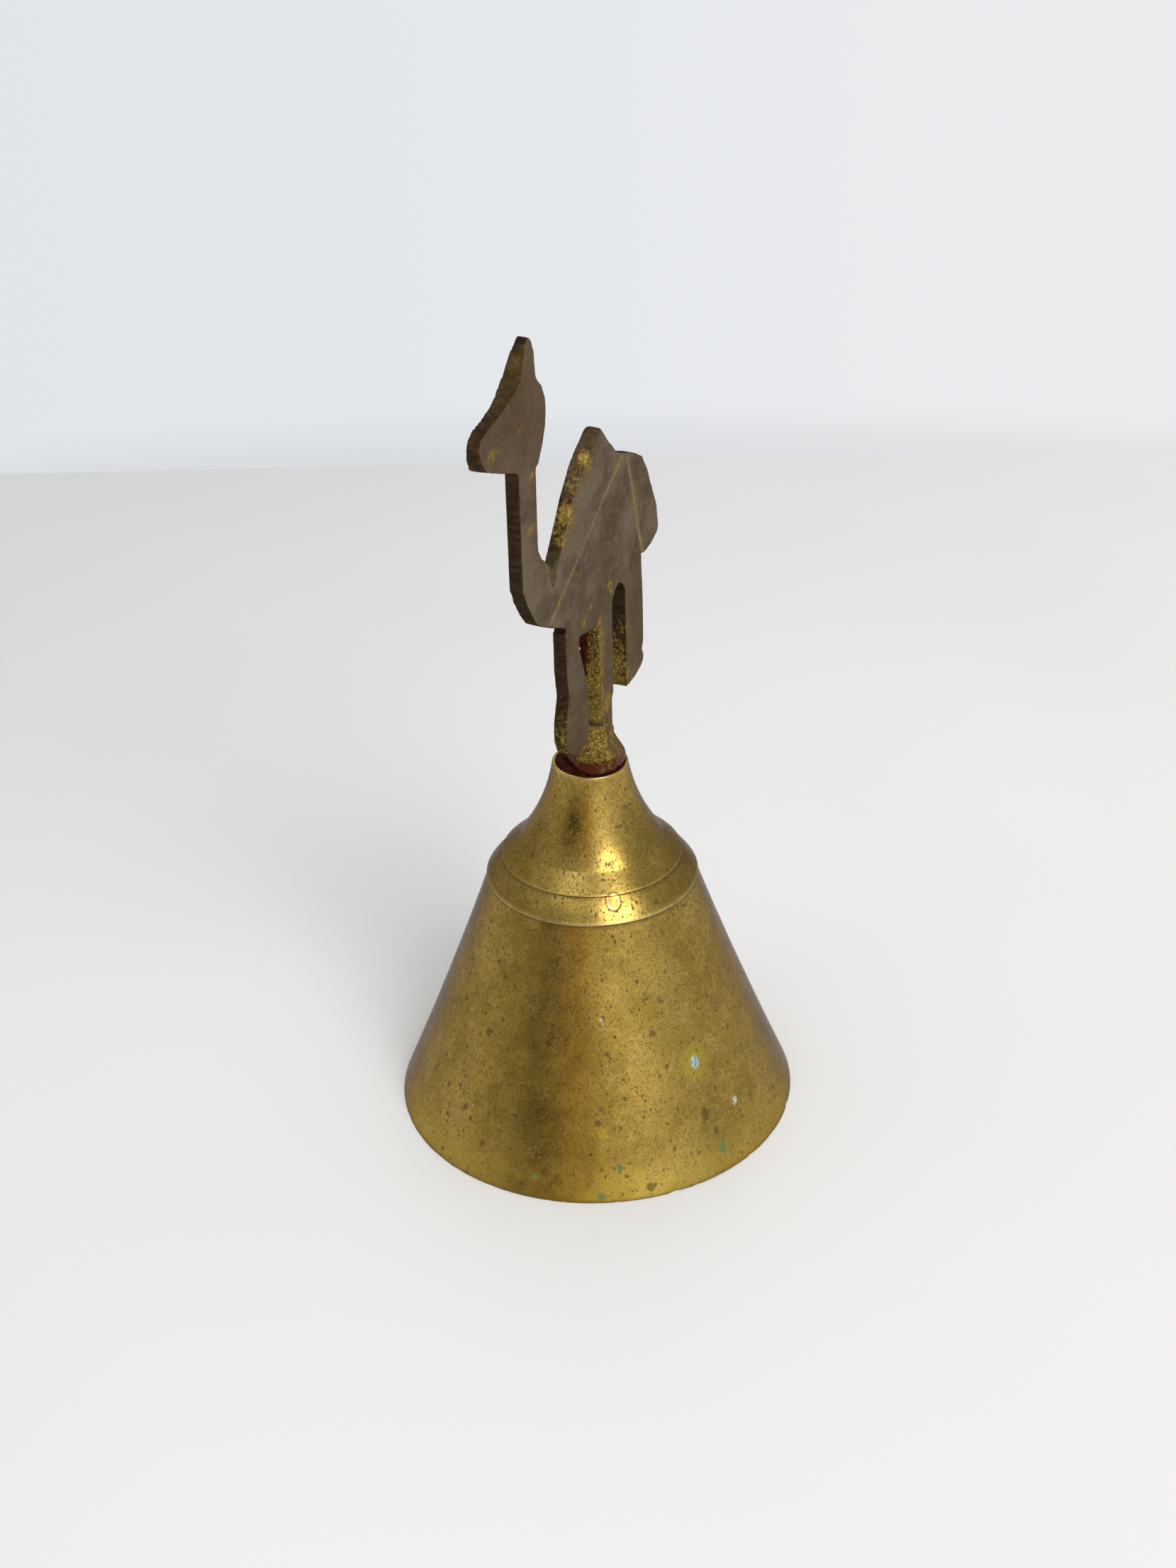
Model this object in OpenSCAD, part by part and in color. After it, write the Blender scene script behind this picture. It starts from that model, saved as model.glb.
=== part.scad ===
// Brass hand bell with a flat cast camel as its handle.
// Millimetres. The origin is the centre of the bell's mouth, +Z is up, and the camel stands in
// the XZ plane with its nose towards -X. Its decorated face is the -Y one.

/* [Bell] */
// Radius of the mouth at the rim
mouth_r = 30; // [24:0.5:38]
// Height of the skirt, from the mouth to the lower edge of the band
skirt_h = 38.2; // [30:0.2:48]
// Radius of the lower edge of the band
band_low_r = 15.6; // [13:0.1:19]
// Height of the turned band
band_h = 3.1; // [2.6:0.1:4.5]
// How far the band draws in from its lower edge to its upper edge
band_draw = 2.6; // [1.5:0.1:3.2]
// Width of the small turned steps above and below the band
step_w = 0.25; // [0.1:0.05:0.5]
// Height of the straight shoulder above the band
shoulder_h = 2.7; // [2:0.1:4]
// How far the shoulder draws in
shoulder_draw = 2.65; // [1.5:0.05:4]
// Height of the flared neck above the shoulder
neck_h = 12.4; // [10:0.2:16]
// Outer radius of the neck's mouth
neck_r = 5.45; // [5:0.05:7]
// Wall thickness of the bell
wall = 0.9; // [0.7:0.05:1.6]
// Wall thickness at the neck's mouth
neck_lip = 0.5; // [0.4:0.05:1]
// Hollow of the skirt's side, at its deepest
skirt_hollow = 0.3; // [0:0.05:1.5]
// Hollow of the neck's flare, at its deepest
neck_hollow = 0.8; // [0.2:0.05:1.2]

/* [Clapper] */
// Diameter of the cross pin
pin_d = 2.2; // [1.8:0.1:3]
// Height of the pin's axis above the band's lower edge
pin_up = 2.6; // [1.6:0.1:3.4]
// Direction of the pin, as an angle from +X
pin_az = -143; // [-180:1:180]
// Wire diameter of the hanging link
link_wire = 1.2; // [1:0.1:1.5]
// Distance between the centres of the link's two round ends
link_l = 4.5; // [3.6:0.1:7]
// Wire diameter of the clapper
rod_wire = 1.3; // [1:0.1:1.6]
// Diameter of the clapper's ball
ball_d = 11; // [8:0.5:13]
// Height of the ball's centre above the mouth
ball_z = 8.8; // [7.5:0.1:16]
// Diameter of the peened end below the ball
peen_d = 2.6; // [2:0.1:4]

/* [Camel] */
// Thickness of the cast plate
plate_t = 2.2; // [1.8:0.1:3]
// Thickness of the head, which is thinner and flush with the decorated face
head_t = 1.7; // [1.2:0.1:1.8]
// How far the plate's middle stands off the bell's axis
plate_off = 0.6; // [0:0.1:0.8]
// Width of the neck
neck_w = 4.8; // [3.5:0.1:6]
// Distance of the throat in front of the bell's axis
throat_x = 22.3; // [18:0.1:27]
// Length of the head from nape to lip
head_l = 19; // [15:0.5:23]
// Height of the head from jaw to ear tip
head_h = 17.2; // [14:0.2:21]
// Height of the jaw above the bell's neck
jaw_z = 51; // [46:0.5:61]
// Height of the belly above the bell's neck
belly_z = 22.8; // [19:0.2:27]
// Length of the front leg
front_leg_l = 20; // [16:0.5:21.5]
// Width of the front leg at its top
front_leg_w = 4.3; // [3.4:0.1:5]
// Length of the hind leg
hind_leg_l = 18; // [14:0.5:21]
// Width of the hind leg
hind_leg_w = 6.2; // [4:0.1:7]
// How much thicker the hind leg is than the plate, on its plain side
hind_back = 0.7; // [0:0.1:1.2]
// Height of the hump's peak above the belly
hump_h = 26.3; // [22:0.2:31]
// Width of the post that the camel stands on
post_w = 4.7; // [3.6:0.1:5.4]
// Distance of the post's middle behind the bell's axis
post_x = 2.75; // [1.5:0.1:3]
// How much thicker the post is than the plate, on its plain side
post_back = 0.9; // [0:0.1:1.2]
// Distance of the foot's centre behind the bell's axis
foot_x = 0.9; // [0:0.1:1]
// Depth of the tang in the bell's neck
tang_l = 6.5; // [4:0.5:8]
// Depth of the engraved lines
groove_d = 0.35; // [0.2:0.05:0.5]
// Width of the engraved lines
groove_w = 0.8; // [0.5:0.1:1.2]
// Diameter of the eye's dimple
eye_d = 1.4; // [0.8:0.1:2]

/* [Fits] */
// Gap between pieces that are fixed together
fixed_gap = 0.02; // [0.01:0.01:0.05]
// Radial clearance of the link on its pin
pin_clear = 0.08; // [0.02:0.01:0.1]
// Radial clearance of the clapper's eye on the link
eye_clear = 0.3; // [0.25:0.05:0.5]
// Thickness of the lac where the tang comes nearest to the neck's wall
lac_thin = 0.17; // [0.1:0.01:0.4]
// How far the lac stands above the bell's neck
lac_rise = 0.3; // [0.2:0.1:1]
// How far the lac reaches below the tang
lac_under = 1.2; // [0.8:0.1:2]

/* [Hidden] */
$fn = 96;

// heights of the bell, upwards from the mouth
band_z = skirt_h;
shoulder_z = band_z + band_h;
flare_z = shoulder_z + shoulder_h;
top_z = flare_z + neck_h;
band_top_r = band_low_r - band_draw;
flare_r = band_top_r + step_w - shoulder_draw;
pin_z = band_z + pin_up;

// the link hangs round the pin, and the clapper's eye round the link's lower end
link_r = pin_d / 2 + pin_clear + link_wire / 2;
link_low_z = pin_z - link_l - link_r;
eye_r = link_wire / 2 + eye_clear + rod_wire / 2;

// the camel, in its own plane: x along the bell's X axis, y upwards
leg_top = top_z + belly_z;
chest_y = leg_top + 2.8;
front_foot_y = leg_top + 2.8 - front_leg_l;
hind_foot_y = leg_top + 2.6 - hind_leg_l;
front_leg_x = -10.2;
hind_leg_x = 9.8;
nape_x = -throat_x + neck_w + 3.5;
peak = [post_x - 0.4, leg_top + hump_h];
saddle = [peak[0] + 7.4, peak[1] - 5.9];
rump = [saddle[0] + 12, saddle[1] - 15.4];
cleft = [-throat_x + neck_w + 5.1, peak[1] - 14.2];
foot_h = 6.2;

// the tang stands off the bell's axis and fills the neck but for the lac
tang_r = neck_r - neck_lip - norm([foot_x, plate_off]) - lac_thin;

// points on the shallow arc from p to q that bulges by s to the left of the way
function arc_pts(p, q, s, n = 10) =
    let (d = q - p, side = [-d[1], d[0]] / norm(d))
    [for (i = [0:n]) let (k = i / n) p + d * k + side * (4 * s * k * (1 - k))];

// outline of the bell's side from the rim to the neck's mouth, drawn in by t
function side_pts(t, lip) = concat(
    arc_pts([mouth_r - t, 0], [band_low_r - step_w - t, band_z - step_w], skirt_hollow, 16),
    arc_pts([band_low_r - t, band_z], [band_top_r - t, shoulder_z], -0.12, 4),
    [[band_top_r + step_w - t, shoulder_z + step_w]],
    arc_pts([flare_r - t, flare_z], [neck_r - lip, top_z], neck_hollow, 14));

// the same side without the steps, for the turned inside of the wall
function inner_pts(t, lip) = concat(
    arc_pts([mouth_r - t, 0], [band_low_r - step_w - t, band_z - t / 2], skirt_hollow, 16),
    [[band_top_r - t, shoulder_z - t / 2]],
    arc_pts([flare_r - t, flare_z - t / 2], [neck_r - lip, top_z], neck_hollow, 14));

// places a child that is built along +X on the pin's axis
module on_pin() {
    translate([0, 0, pin_z]) rotate([0, 0, pin_az]) children();
}

// solid of revolution under an outline that runs from the mouth to the top
module turned(pts) {
    rotate_extrude() polygon(concat([[0, pts[0][1]]], pts, [[0, pts[len(pts) - 1][1]]]));
}

// straight groove between two points of the camel's plane, cut into both faces
module groove(p, q) {
    l = norm(q - p) + groove_w;
    mid = (p + q) / 2;
    for (face = [-1, 1])
        translate([mid[0], -plate_off + face * plate_t / 2, mid[1]])
            rotate([0, -atan2(q[1] - p[1], q[0] - p[0]), 0])
                cube([l, 2 * groove_d, groove_w], center = true);
}

// a point of the head, as shares of its length from the nape and its height from the jaw
function hp(a, b) = [nape_x - a * head_l, top_z + jaw_z + b * head_h];

eye = hp(0.36, 0.36);

// engraved lines, from the saddle down to the chest and down to the hind leg
girth_line = [saddle + [-0.8, -0.4], [post_x - 7.4, peak[1] - 14.9],
              [-throat_x + 7.7, peak[1] - 20.8]];
haunch_line = [saddle + [1.4, -1.3], [hind_leg_x + 4.5, rump[1] + 3.2],
               [hind_leg_x + 6.2, rump[1] - 2]];

module head_2d() {
    polygon([hp(0.15, 0), hp(0.42, 0.04), hp(0.96, 0.27), hp(0.99, 0.34), hp(1, 0.43),
             hp(0.97, 0.49), hp(0.92, 0.54), hp(0.74, 0.59), hp(0.65, 0.63), hp(0.57, 0.68),
             hp(0.45, 0.79), hp(0.33, 0.92), hp(0.26, 0.97), hp(0.23, 1), hp(0.19, 0.96),
             hp(0.155, 0.87),
             hp(0.14, 0.68), hp(0.115, 0.645), hp(0.055, 0.58), hp(0.01, 0.48), hp(0, 0.4),
             hp(0.015, 0.27), hp(0.07, 0.13)]);
}

module neck_2d() {
    polygon([[-throat_x, chest_y + 10], [-throat_x, top_z + jaw_z + 1],
             [-throat_x + neck_w, top_z + jaw_z + 1], [-throat_x + neck_w, cleft[1] + 5],
             [-throat_x + neck_w + 0.9, cleft[1] + 3.4], cleft, [front_leg_x, chest_y]]);
}

// chest, hump, rump and belly
module body_2d() {
    polygon([[-throat_x, chest_y + 10.6], [-throat_x + 0.9, chest_y + 8.2],
             [-throat_x + 2.5, chest_y + 5.7], [-throat_x + 3.9, chest_y + 4],
             [-throat_x + 7.5, chest_y + 2], [front_leg_x, leg_top + 2.6],
             [front_leg_x + 3, leg_top - 0.4], [post_x, leg_top - 1.7], [hind_leg_x + 2, leg_top],
             [hind_leg_x + hind_leg_w - 0.4, leg_top + 2.6], [rump[0] - 2.6, rump[1] - 1.8],
             [rump[0] - 0.3, rump[1] - 0.8], [rump[0] + 0.1, rump[1] + 0.3],
             [rump[0] - 0.6, rump[1] + 3.8], [rump[0] - 2.4, rump[1] + 7.3],
             [rump[0] - 3.8, rump[1] + 10.2], [rump[0] - 5.5, rump[1] + 12.6],
             [rump[0] - 7.6, rump[1] + 13.8], [saddle[0] + 1.8, saddle[1] - 0.5], saddle,
             [saddle[0] - 2, saddle[1] + 0.9], [peak[0] + 2.6, peak[1] - 2.5],
             [peak[0] + 1, peak[1] - 0.8], peak, [peak[0] - 2, peak[1] - 0.4],
             [peak[0] - 3.5, peak[1] - 1.1], [peak[0] - 6.3, peak[1] - 3.1],
             [peak[0] - 7.5, peak[1] - 4.6], [peak[0] - 9.1, peak[1] - 6.3],
             [peak[0] - 11.8, peak[1] - 10.2], cleft]);
}

module front_leg_2d() {
    x = front_leg_x;
    w = front_leg_w;
    polygon([[x, chest_y - 1], [x + 0.1, front_foot_y + 13], [x + 0.6, front_foot_y + 9],
             [x - 0.4, front_foot_y + 5.6], [x - 0.6, front_foot_y + 2.6],
             [x + 0.4, front_foot_y + 0.4], [x + 2.6, front_foot_y - 0.9],
             [x + w + 1.4, front_foot_y - 0.6], [x + w + 2.5, front_foot_y + 1.6],
             [x + w + 2.6, front_foot_y + 5.1], [x + w + 2.1, front_foot_y + 8.6],
             [x + w + 1.1, front_foot_y + 11.9], [x + w - 0.1, front_foot_y + 15.4],
             [x + w, leg_top + 1]]);
}

module hind_leg_2d() {
    x = hind_leg_x;
    w = hind_leg_w;
    polygon([[x, leg_top + 1], [x, hind_foot_y], [x + 1.4, hind_foot_y],
             [x + 3.2, hind_foot_y + 0.2], [x + w - 1.2, hind_foot_y + 0.8],
             [x + w - 0.1, hind_foot_y + 1.5], [x + w + 0.1, hind_foot_y + 2.5],
             [x + w - 0.5, hind_foot_y + 3.6], [x + w, hind_foot_y + 4.6],
             [x + w, hind_foot_y + 12], [x + w - 0.5, leg_top + 4]]);
}

// arched top of a gap between two legs, cut up into the belly
module arch_2d(x0, x1, rise) {
    polygon(concat([[x0, leg_top - 2.5], [x1, leg_top - 2.5]],
                   arc_pts([x1, leg_top], [x0, leg_top], -rise, 8)));
}

module camel_2d() {
    difference() {
        union() {
            neck_2d();
            body_2d();
        }
        arch_2d(post_x + post_w / 2, hind_leg_x, 1.8);
    }
    front_leg_2d();
    hind_leg_2d();
    translate([post_x - post_w / 2, top_z + 1]) square([post_w, belly_z]);
}

// round foot and tang, with a gap added all over for the hole that it sits in
module foot_and_tang(gap = 0) {
    collar = tang_r + 0.6;
    translate([foot_x, -plate_off, top_z])
        rotate_extrude()
            polygon([[0, -tang_l - gap], [tang_r - 0.7 + gap, -tang_l - gap],
                     [tang_r + gap, lac_rise - 0.2 - gap], [collar, lac_rise - gap],
                     [collar - 0.1, lac_rise + 0.8], [tang_r - 0.4, lac_rise + 2.4],
                     [tang_r - 1.1, lac_rise + 3.8], [tang_r - 1.5, foot_h], [0, foot_h]]);
}

module bell_cup() {
    color("darkgoldenrod")
        difference() {
            turned(side_pts(0, 0));
            translate([0, 0, -0.01]) cylinder(r = mouth_r - wall, h = 0.02);
            turned(inner_pts(wall, neck_lip));
            on_pin() rotate([0, 90, 0])
                cylinder(d = pin_d + 2 * fixed_gap, h = 4 * band_low_r, center = true);
        }
}

module camel_handle() {
    color("dimgray")
        difference() {
            union() {
                translate([0, plate_t / 2 - plate_off, 0])
                    rotate([90, 0, 0]) linear_extrude(plate_t) camel_2d();
                translate([0, head_t - plate_t / 2 - plate_off, 0])
                    rotate([90, 0, 0]) linear_extrude(head_t) head_2d();
                translate([0, plate_t / 2 - plate_off + hind_back, 0])
                    rotate([90, 0, 0]) linear_extrude(plate_t + hind_back) hind_leg_2d();
                translate([post_x - post_w / 2, -plate_off - plate_t / 2, top_z + 1])
                    cube([post_w, plate_t + post_back, belly_z - 3]);
                foot_and_tang();
            }
            for (line = [girth_line, haunch_line], i = [0:1]) groove(line[i], line[i + 1]);
            for (depth = [0, head_t])
                translate([eye[0], depth - plate_t / 2 - plate_off, eye[1]])
                    rotate([90, 0, 0]) cylinder(d = eye_d, h = 2 * groove_d, center = true);
        }
}

module lac_filling() {
    low = top_z - tang_l - lac_under;
    inside = inner_pts(wall + fixed_gap, neck_lip + fixed_gap);
    color("maroon")
        difference() {
            union() {
                intersection() {
                    turned(inside);
                    translate([0, 0, low]) cylinder(r = mouth_r, h = top_z - low);
                }
                translate([0, 0, top_z])
                    cylinder(r1 = neck_r - neck_lip - fixed_gap, r2 = neck_r - neck_lip - 0.6,
                             h = lac_rise - 0.1);
            }
            foot_and_tang(fixed_gap);
        }
}

module clapper_pin() {
    color("goldenrod")
        intersection() {
            on_pin() rotate([0, 90, 0]) cylinder(d = pin_d, h = 4 * band_low_r, center = true);
            turned(side_pts(0, 0));
        }
}

// half of a round wire ring, open side up
module half_ring(r, wire) {
    rotate([0, 0, 180]) rotate_extrude(angle = 180) translate([r, 0]) circle(d = wire, $fn = 32);
}

// oblong link in the plane square to the pin
module hanger_link() {
    color("peru")
        on_pin() rotate([0, 90, 0]) rotate([0, 0, 90]) {
            rotate([0, 0, 180]) half_ring(link_r, link_wire);
            translate([0, -link_l, 0]) half_ring(link_r, link_wire);
            for (side = [-1, 1])
                translate([side * link_r, 0, 0])
                    rotate([90, 0, 0]) cylinder(d = link_wire, h = link_l, $fn = 32);
        }
}

// wire with an eye round the link, a straight shank and a peened end under the ball
module clapper_wire() {
    shank_top = link_low_z - eye_r;
    foot = ball_z - ball_d / 2;
    color("sienna") {
        translate([0, 0, link_low_z]) rotate([90, 0, pin_az])
            rotate_extrude() translate([eye_r, 0]) circle(d = rod_wire, $fn = 32);
        translate([0, 0, foot - 0.1]) cylinder(d = rod_wire, h = shank_top - foot + 0.1, $fn = 32);
        translate([0, 0, foot - 0.6]) cylinder(d1 = peen_d - 0.8, d2 = peen_d, h = 0.58, $fn = 32);
    }
}

module clapper_ball() {
    color("darkgoldenrod")
        difference() {
            translate([0, 0, ball_z]) intersection() {
                sphere(d = ball_d);
                cube([ball_d + 1, ball_d + 1, ball_d - 0.1], center = true);
            }
            translate([0, 0, ball_z])
                cylinder(d = rod_wire + 2 * fixed_gap, h = ball_d + 1, center = true, $fn = 32);
        }
}

bell_cup();
camel_handle();
lac_filling();
clapper_pin();
hanger_link();
clapper_wire();
clapper_ball();
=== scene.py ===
"""Looks of the brass hand bell with a flat cast camel as its handle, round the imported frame."""

import sys

import logging
import math
from dataclasses import dataclass
from enum import Enum
from typing import Callable, Sequence, Union

import bmesh
import bpy
import numpy as np
from mathutils import Matrix, Vector, noise


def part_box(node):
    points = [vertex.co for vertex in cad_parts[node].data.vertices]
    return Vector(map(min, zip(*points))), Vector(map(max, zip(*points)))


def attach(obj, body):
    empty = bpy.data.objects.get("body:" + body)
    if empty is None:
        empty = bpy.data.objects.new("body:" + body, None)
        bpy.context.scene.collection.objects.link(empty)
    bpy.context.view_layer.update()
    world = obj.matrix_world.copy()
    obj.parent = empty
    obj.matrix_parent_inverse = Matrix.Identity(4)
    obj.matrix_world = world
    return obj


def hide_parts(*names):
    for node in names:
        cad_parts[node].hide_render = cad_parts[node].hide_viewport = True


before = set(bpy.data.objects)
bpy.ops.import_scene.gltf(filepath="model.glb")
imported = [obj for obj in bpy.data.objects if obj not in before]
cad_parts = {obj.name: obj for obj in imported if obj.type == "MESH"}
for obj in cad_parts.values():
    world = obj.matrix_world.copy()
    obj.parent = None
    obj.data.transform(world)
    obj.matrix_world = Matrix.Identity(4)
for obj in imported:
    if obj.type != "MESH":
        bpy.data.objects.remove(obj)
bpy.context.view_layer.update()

log = logging.getLogger("bell")

MM = 0.001
NECK_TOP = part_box("bell_cup")[1].z / MM
MOUTH_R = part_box("bell_cup")[1].x / MM
UP = Vector((0, 0, 1))

# how far the neck stands above the one that the camel's heights are given for
RAISED = NECK_TOP - 56.4
FOOT = (0.9, -0.6)
FOOT_R = 4.25

# angles in degrees, and the share of a side that the rounding of a corner may take
SHARP = 38.0
CORNER_STEP = 12.0
CORNER_SHARE = 0.45
CAD_WELD = 0.001 * MM
WELD = 0.0005 * MM

Colour = tuple[float, float, float]
Feed = Union[bpy.types.NodeSocket, float, Sequence[float]]


class Slot(Enum):
    """The record's material slots."""

    BELL = "bell_brass"
    TARNISHED = "tarnished_brass"
    LAC = "lac"
    PIN = "pin_brass"
    WIRE = "wire"


class Mark(Enum):
    """Kinds of mark that age leaves on the bell's side."""

    CRUST = "pale blue corrosion"
    HALO = "yellow ring round corrosion"
    WHITE = "white fleck"
    GREEN = "green streak"
    PIT = "dark pit"


# ---------------------------------------------------------------- shader helpers


class Sheet:
    """A node tree that is being laid out."""

    def __init__(self, tree: bpy.types.NodeTree) -> None:
        """Keeps the tree to add to."""
        self.tree = tree

    def node(self, kind: str, **settings: object) -> bpy.types.Node:
        """Adds a node.

        Args:
            kind: the node's type name.
            **settings: the node's own properties.

        Returns:
            The new node.
        """
        made = self.tree.nodes.new(kind)
        for name, value in settings.items():
            setattr(made, name, value)
        return made

    def feed(self, socket: bpy.types.NodeSocket, value: Feed) -> None:
        """Links a socket to another, or sets its value.

        Args:
            socket: the input to fill.
            value: another node's output, a number or a colour.
        """
        if isinstance(value, bpy.types.NodeSocket):
            self.tree.links.new(value, socket)
        elif isinstance(value, (int, float)):
            socket.default_value = value
        else:
            room = len(socket.default_value)
            socket.default_value = (*value, 1.0)[:room] if len(value) < room else value

    def math(self, what: str, a: Feed, b: Feed = 0.0, clamp: bool = False) -> bpy.types.NodeSocket:
        """One operation on two values.

        Args:
            what: the Math node's operation.
            a: first value.
            b: second value.
            clamp: whether the result is kept between 0 and 1.

        Returns:
            The result's socket.
        """
        made = self.node("ShaderNodeMath", operation=what, use_clamp=clamp)
        self.feed(made.inputs[0], a)
        self.feed(made.inputs[1], b)
        return made.outputs[0]

    def product(self, a: Feed, b: Feed) -> bpy.types.NodeSocket:
        """Two values multiplied."""
        return self.math("MULTIPLY", a, b)

    def total(self, a: Feed, b: Feed) -> bpy.types.NodeSocket:
        """Two values added."""
        return self.math("ADD", a, b)

    def most(self, a: Feed, b: Feed) -> bpy.types.NodeSocket:
        """The greater of two values."""
        return self.math("MAXIMUM", a, b)

    def vector(self, what: str, a: Feed, b: Feed = (0.0, 0.0, 0.0)) -> bpy.types.NodeSocket:
        """One operation on two vectors, which gives a length, a product or a vector."""
        made = self.node("ShaderNodeVectorMath", operation=what)
        self.feed(made.inputs[0], a)
        self.feed(made.inputs[1], b)
        return made.outputs["Value" if what in ("DISTANCE", "LENGTH", "DOT_PRODUCT") else "Vector"]

    def times(self, vector: Feed, by: Feed) -> bpy.types.NodeSocket:
        """A vector made longer by a factor."""
        made = self.node("ShaderNodeVectorMath", operation="SCALE")
        self.feed(made.inputs[0], vector)
        self.feed(made.inputs["Scale"], by)
        return made.outputs["Vector"]

    def remap(self, value: Feed, lo: Feed, hi: Feed, to_lo: Feed = 0.0, to_hi: Feed = 1.0,
              smooth: bool = True) -> bpy.types.NodeSocket:
        """Carries a value from one range to another, held at both ends.

        Args:
            value: the value.
            lo: start of its range.
            hi: end of its range.
            to_lo: what the start becomes.
            to_hi: what the end becomes.
            smooth: whether it eases in and out.

        Returns:
            The result's socket.
        """
        made = self.node("ShaderNodeMapRange",
                         interpolation_type="SMOOTHSTEP" if smooth else "LINEAR")
        for socket, given in zip(made.inputs[:5], (value, lo, hi, to_lo, to_hi)):
            self.feed(socket, given)
        return made.outputs[0]

    def mix(self, factor: Feed, a: Feed, b: Feed, how: str = "MIX") -> bpy.types.NodeSocket:
        """Blends two colours.

        Args:
            factor: share of the second colour.
            a: first colour.
            b: second colour.
            how: the blend.

        Returns:
            The result's socket.
        """
        made = self.node("ShaderNodeMix", data_type="RGBA", blend_type=how)
        self.feed(made.inputs[0], factor)
        self.feed(made.inputs[6], a)
        self.feed(made.inputs[7], b)
        return made.outputs[2]

    def over(self, under: Feed, colour: Feed, mask: Feed, share: float = 1.0,
             ) -> bpy.types.NodeSocket:
        """Lays a colour over another where a mask lets it show.

        Args:
            under: the colour below.
            colour: the colour above.
            mask: how far it shows, from 0 to 1.
            share: what it is at most.

        Returns:
            The result's socket.
        """
        return self.mix(self.product(mask, share) if share < 1.0 else mask, under, colour)

    def apart(self, vector: Feed) -> bpy.types.Node:
        """A vector's three parts, as the outputs X, Y and Z."""
        made = self.node("ShaderNodeSeparateXYZ")
        self.feed(made.inputs[0], vector)
        return made

    def shaken(self, vector: Feed, scale: Feed, by: Feed, detail: float,
               ) -> bpy.types.NodeSocket:
        """Shakes a place about, for ragged outlines.

        Args:
            vector: the place.
            scale: how fine the shaking is.
            by: how far it goes.
            detail: how many finer layers it has.

        Returns:
            The place moved.
        """
        made = self.node("ShaderNodeTexNoise")
        self.feed(made.inputs["Vector"], vector)
        self.feed(made.inputs["Scale"], scale)
        made.inputs["Detail"].default_value = detail
        shift = self.vector("SUBTRACT", made.outputs["Color"], (0.5, 0.5, 0.5))
        return self.vector("ADD", vector, self.times(shift, by))

    def noise(self, vector: Feed, scale: float, detail: float = 3.0,
              rough: float = 0.55) -> bpy.types.NodeSocket:
        """Cloudy noise of about 0 to 1, with a mean of a half."""
        made = self.node("ShaderNodeTexNoise")
        self.feed(made.inputs["Vector"], vector)
        for name, value in (("Scale", scale), ("Detail", detail), ("Roughness", rough)):
            made.inputs[name].default_value = value
        return made.outputs[0]

    def group(self, tree: bpy.types.NodeTree, **values: Feed) -> dict[str, bpy.types.NodeSocket]:
        """Places a node group.

        Args:
            tree: the group.
            **values: what goes into its inputs.

        Returns:
            Its outputs by name.
        """
        made = self.node("ShaderNodeGroup", node_tree=tree)
        for name, value in values.items():
            self.feed(made.inputs[name], value)
        return {socket.name: socket for socket in made.outputs}

    def place_mm(self) -> bpy.types.NodeSocket:
        """The point's place in the row frame, in millimetres."""
        coords = self.node("ShaderNodeTexCoord")
        return self.times(coords.outputs["Object"], 1.0 / MM)

    def painted(self, name: str) -> bpy.types.NodeSocket:
        """A mask that is painted on the mesh."""
        return self.node("ShaderNodeAttribute", attribute_name=name).outputs["Fac"]


def new_group(name: str, inputs: Sequence[tuple[str, str, float]], outputs: Sequence[str],
              lay: Callable[[Sheet, bpy.types.Node], dict[str, bpy.types.NodeSocket]],
              ) -> bpy.types.NodeTree:
    """Makes a shader node group.

    Args:
        name: the group's name.
        inputs: name, socket kind and usual value of each input.
        outputs: names of the outputs, which are plain numbers.
        lay: lays the nodes and returns what feeds each output.

    Returns:
        The group.
    """
    tree = bpy.data.node_groups.new(name, "ShaderNodeTree")
    for label, kind, usual in inputs:
        socket = tree.interface.new_socket(label, in_out="INPUT", socket_type="NodeSocket" + kind)
        if kind == "Float":
            socket.default_value = usual
    for label in outputs:
        tree.interface.new_socket(label, in_out="OUTPUT", socket_type="NodeSocketFloat")
    sheet = Sheet(tree)
    made = lay(sheet, sheet.node("NodeGroupInput"))
    end = sheet.node("NodeGroupOutput")
    for label in outputs:
        sheet.feed(end.inputs[label], made[label])
    return tree


def lay_specks(sheet: Sheet, given: bpy.types.Node) -> dict[str, bpy.types.NodeSocket]:
    """Ragged spots of uneven size, scattered over a share of the surface."""
    place = given.outputs["Vector"]
    place = sheet.shaken(place, sheet.product(given.outputs["Scale"], 1.9),
                         sheet.math("DIVIDE", 0.75, given.outputs["Scale"]), 3.0)
    cells = sheet.node("ShaderNodeTexVoronoi")
    sheet.feed(cells.inputs["Vector"], place)
    sheet.feed(cells.inputs["Scale"], given.outputs["Scale"])
    draw = sheet.node("ShaderNodeSeparateColor")
    sheet.feed(draw.inputs[0], cells.outputs["Color"])
    there = sheet.math("LESS_THAN", draw.outputs[1], given.outputs["Coverage"])
    radius = sheet.remap(draw.outputs[0], 0.0, 1.0, 0.3, 1.0, smooth=False)
    radius = sheet.product(radius, given.outputs["Size"])
    core = sheet.product(radius, 0.45)
    spot = sheet.remap(cells.outputs["Distance"], core, radius, 1.0, 0.0)
    return {"Mask": sheet.product(spot, there)}


def lay_mottle(sheet: Sheet, given: bpy.types.Node) -> dict[str, bpy.types.NodeSocket]:
    """Patchy tarnish: broad clouds, and small ragged flecks whose edges are firmer."""
    place = given.outputs["Vector"]
    broad = sheet.noise(sheet.times(place, given.outputs["Broad"]), 1.0, 3.0, 0.6)
    fine = sheet.noise(sheet.times(place, given.outputs["Fine"]), 1.0, 4.0, 0.65)
    return {"Clouds": sheet.remap(broad, 0.36, 0.66), "Flecks": sheet.remap(fine, 0.44, 0.62)}


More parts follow.
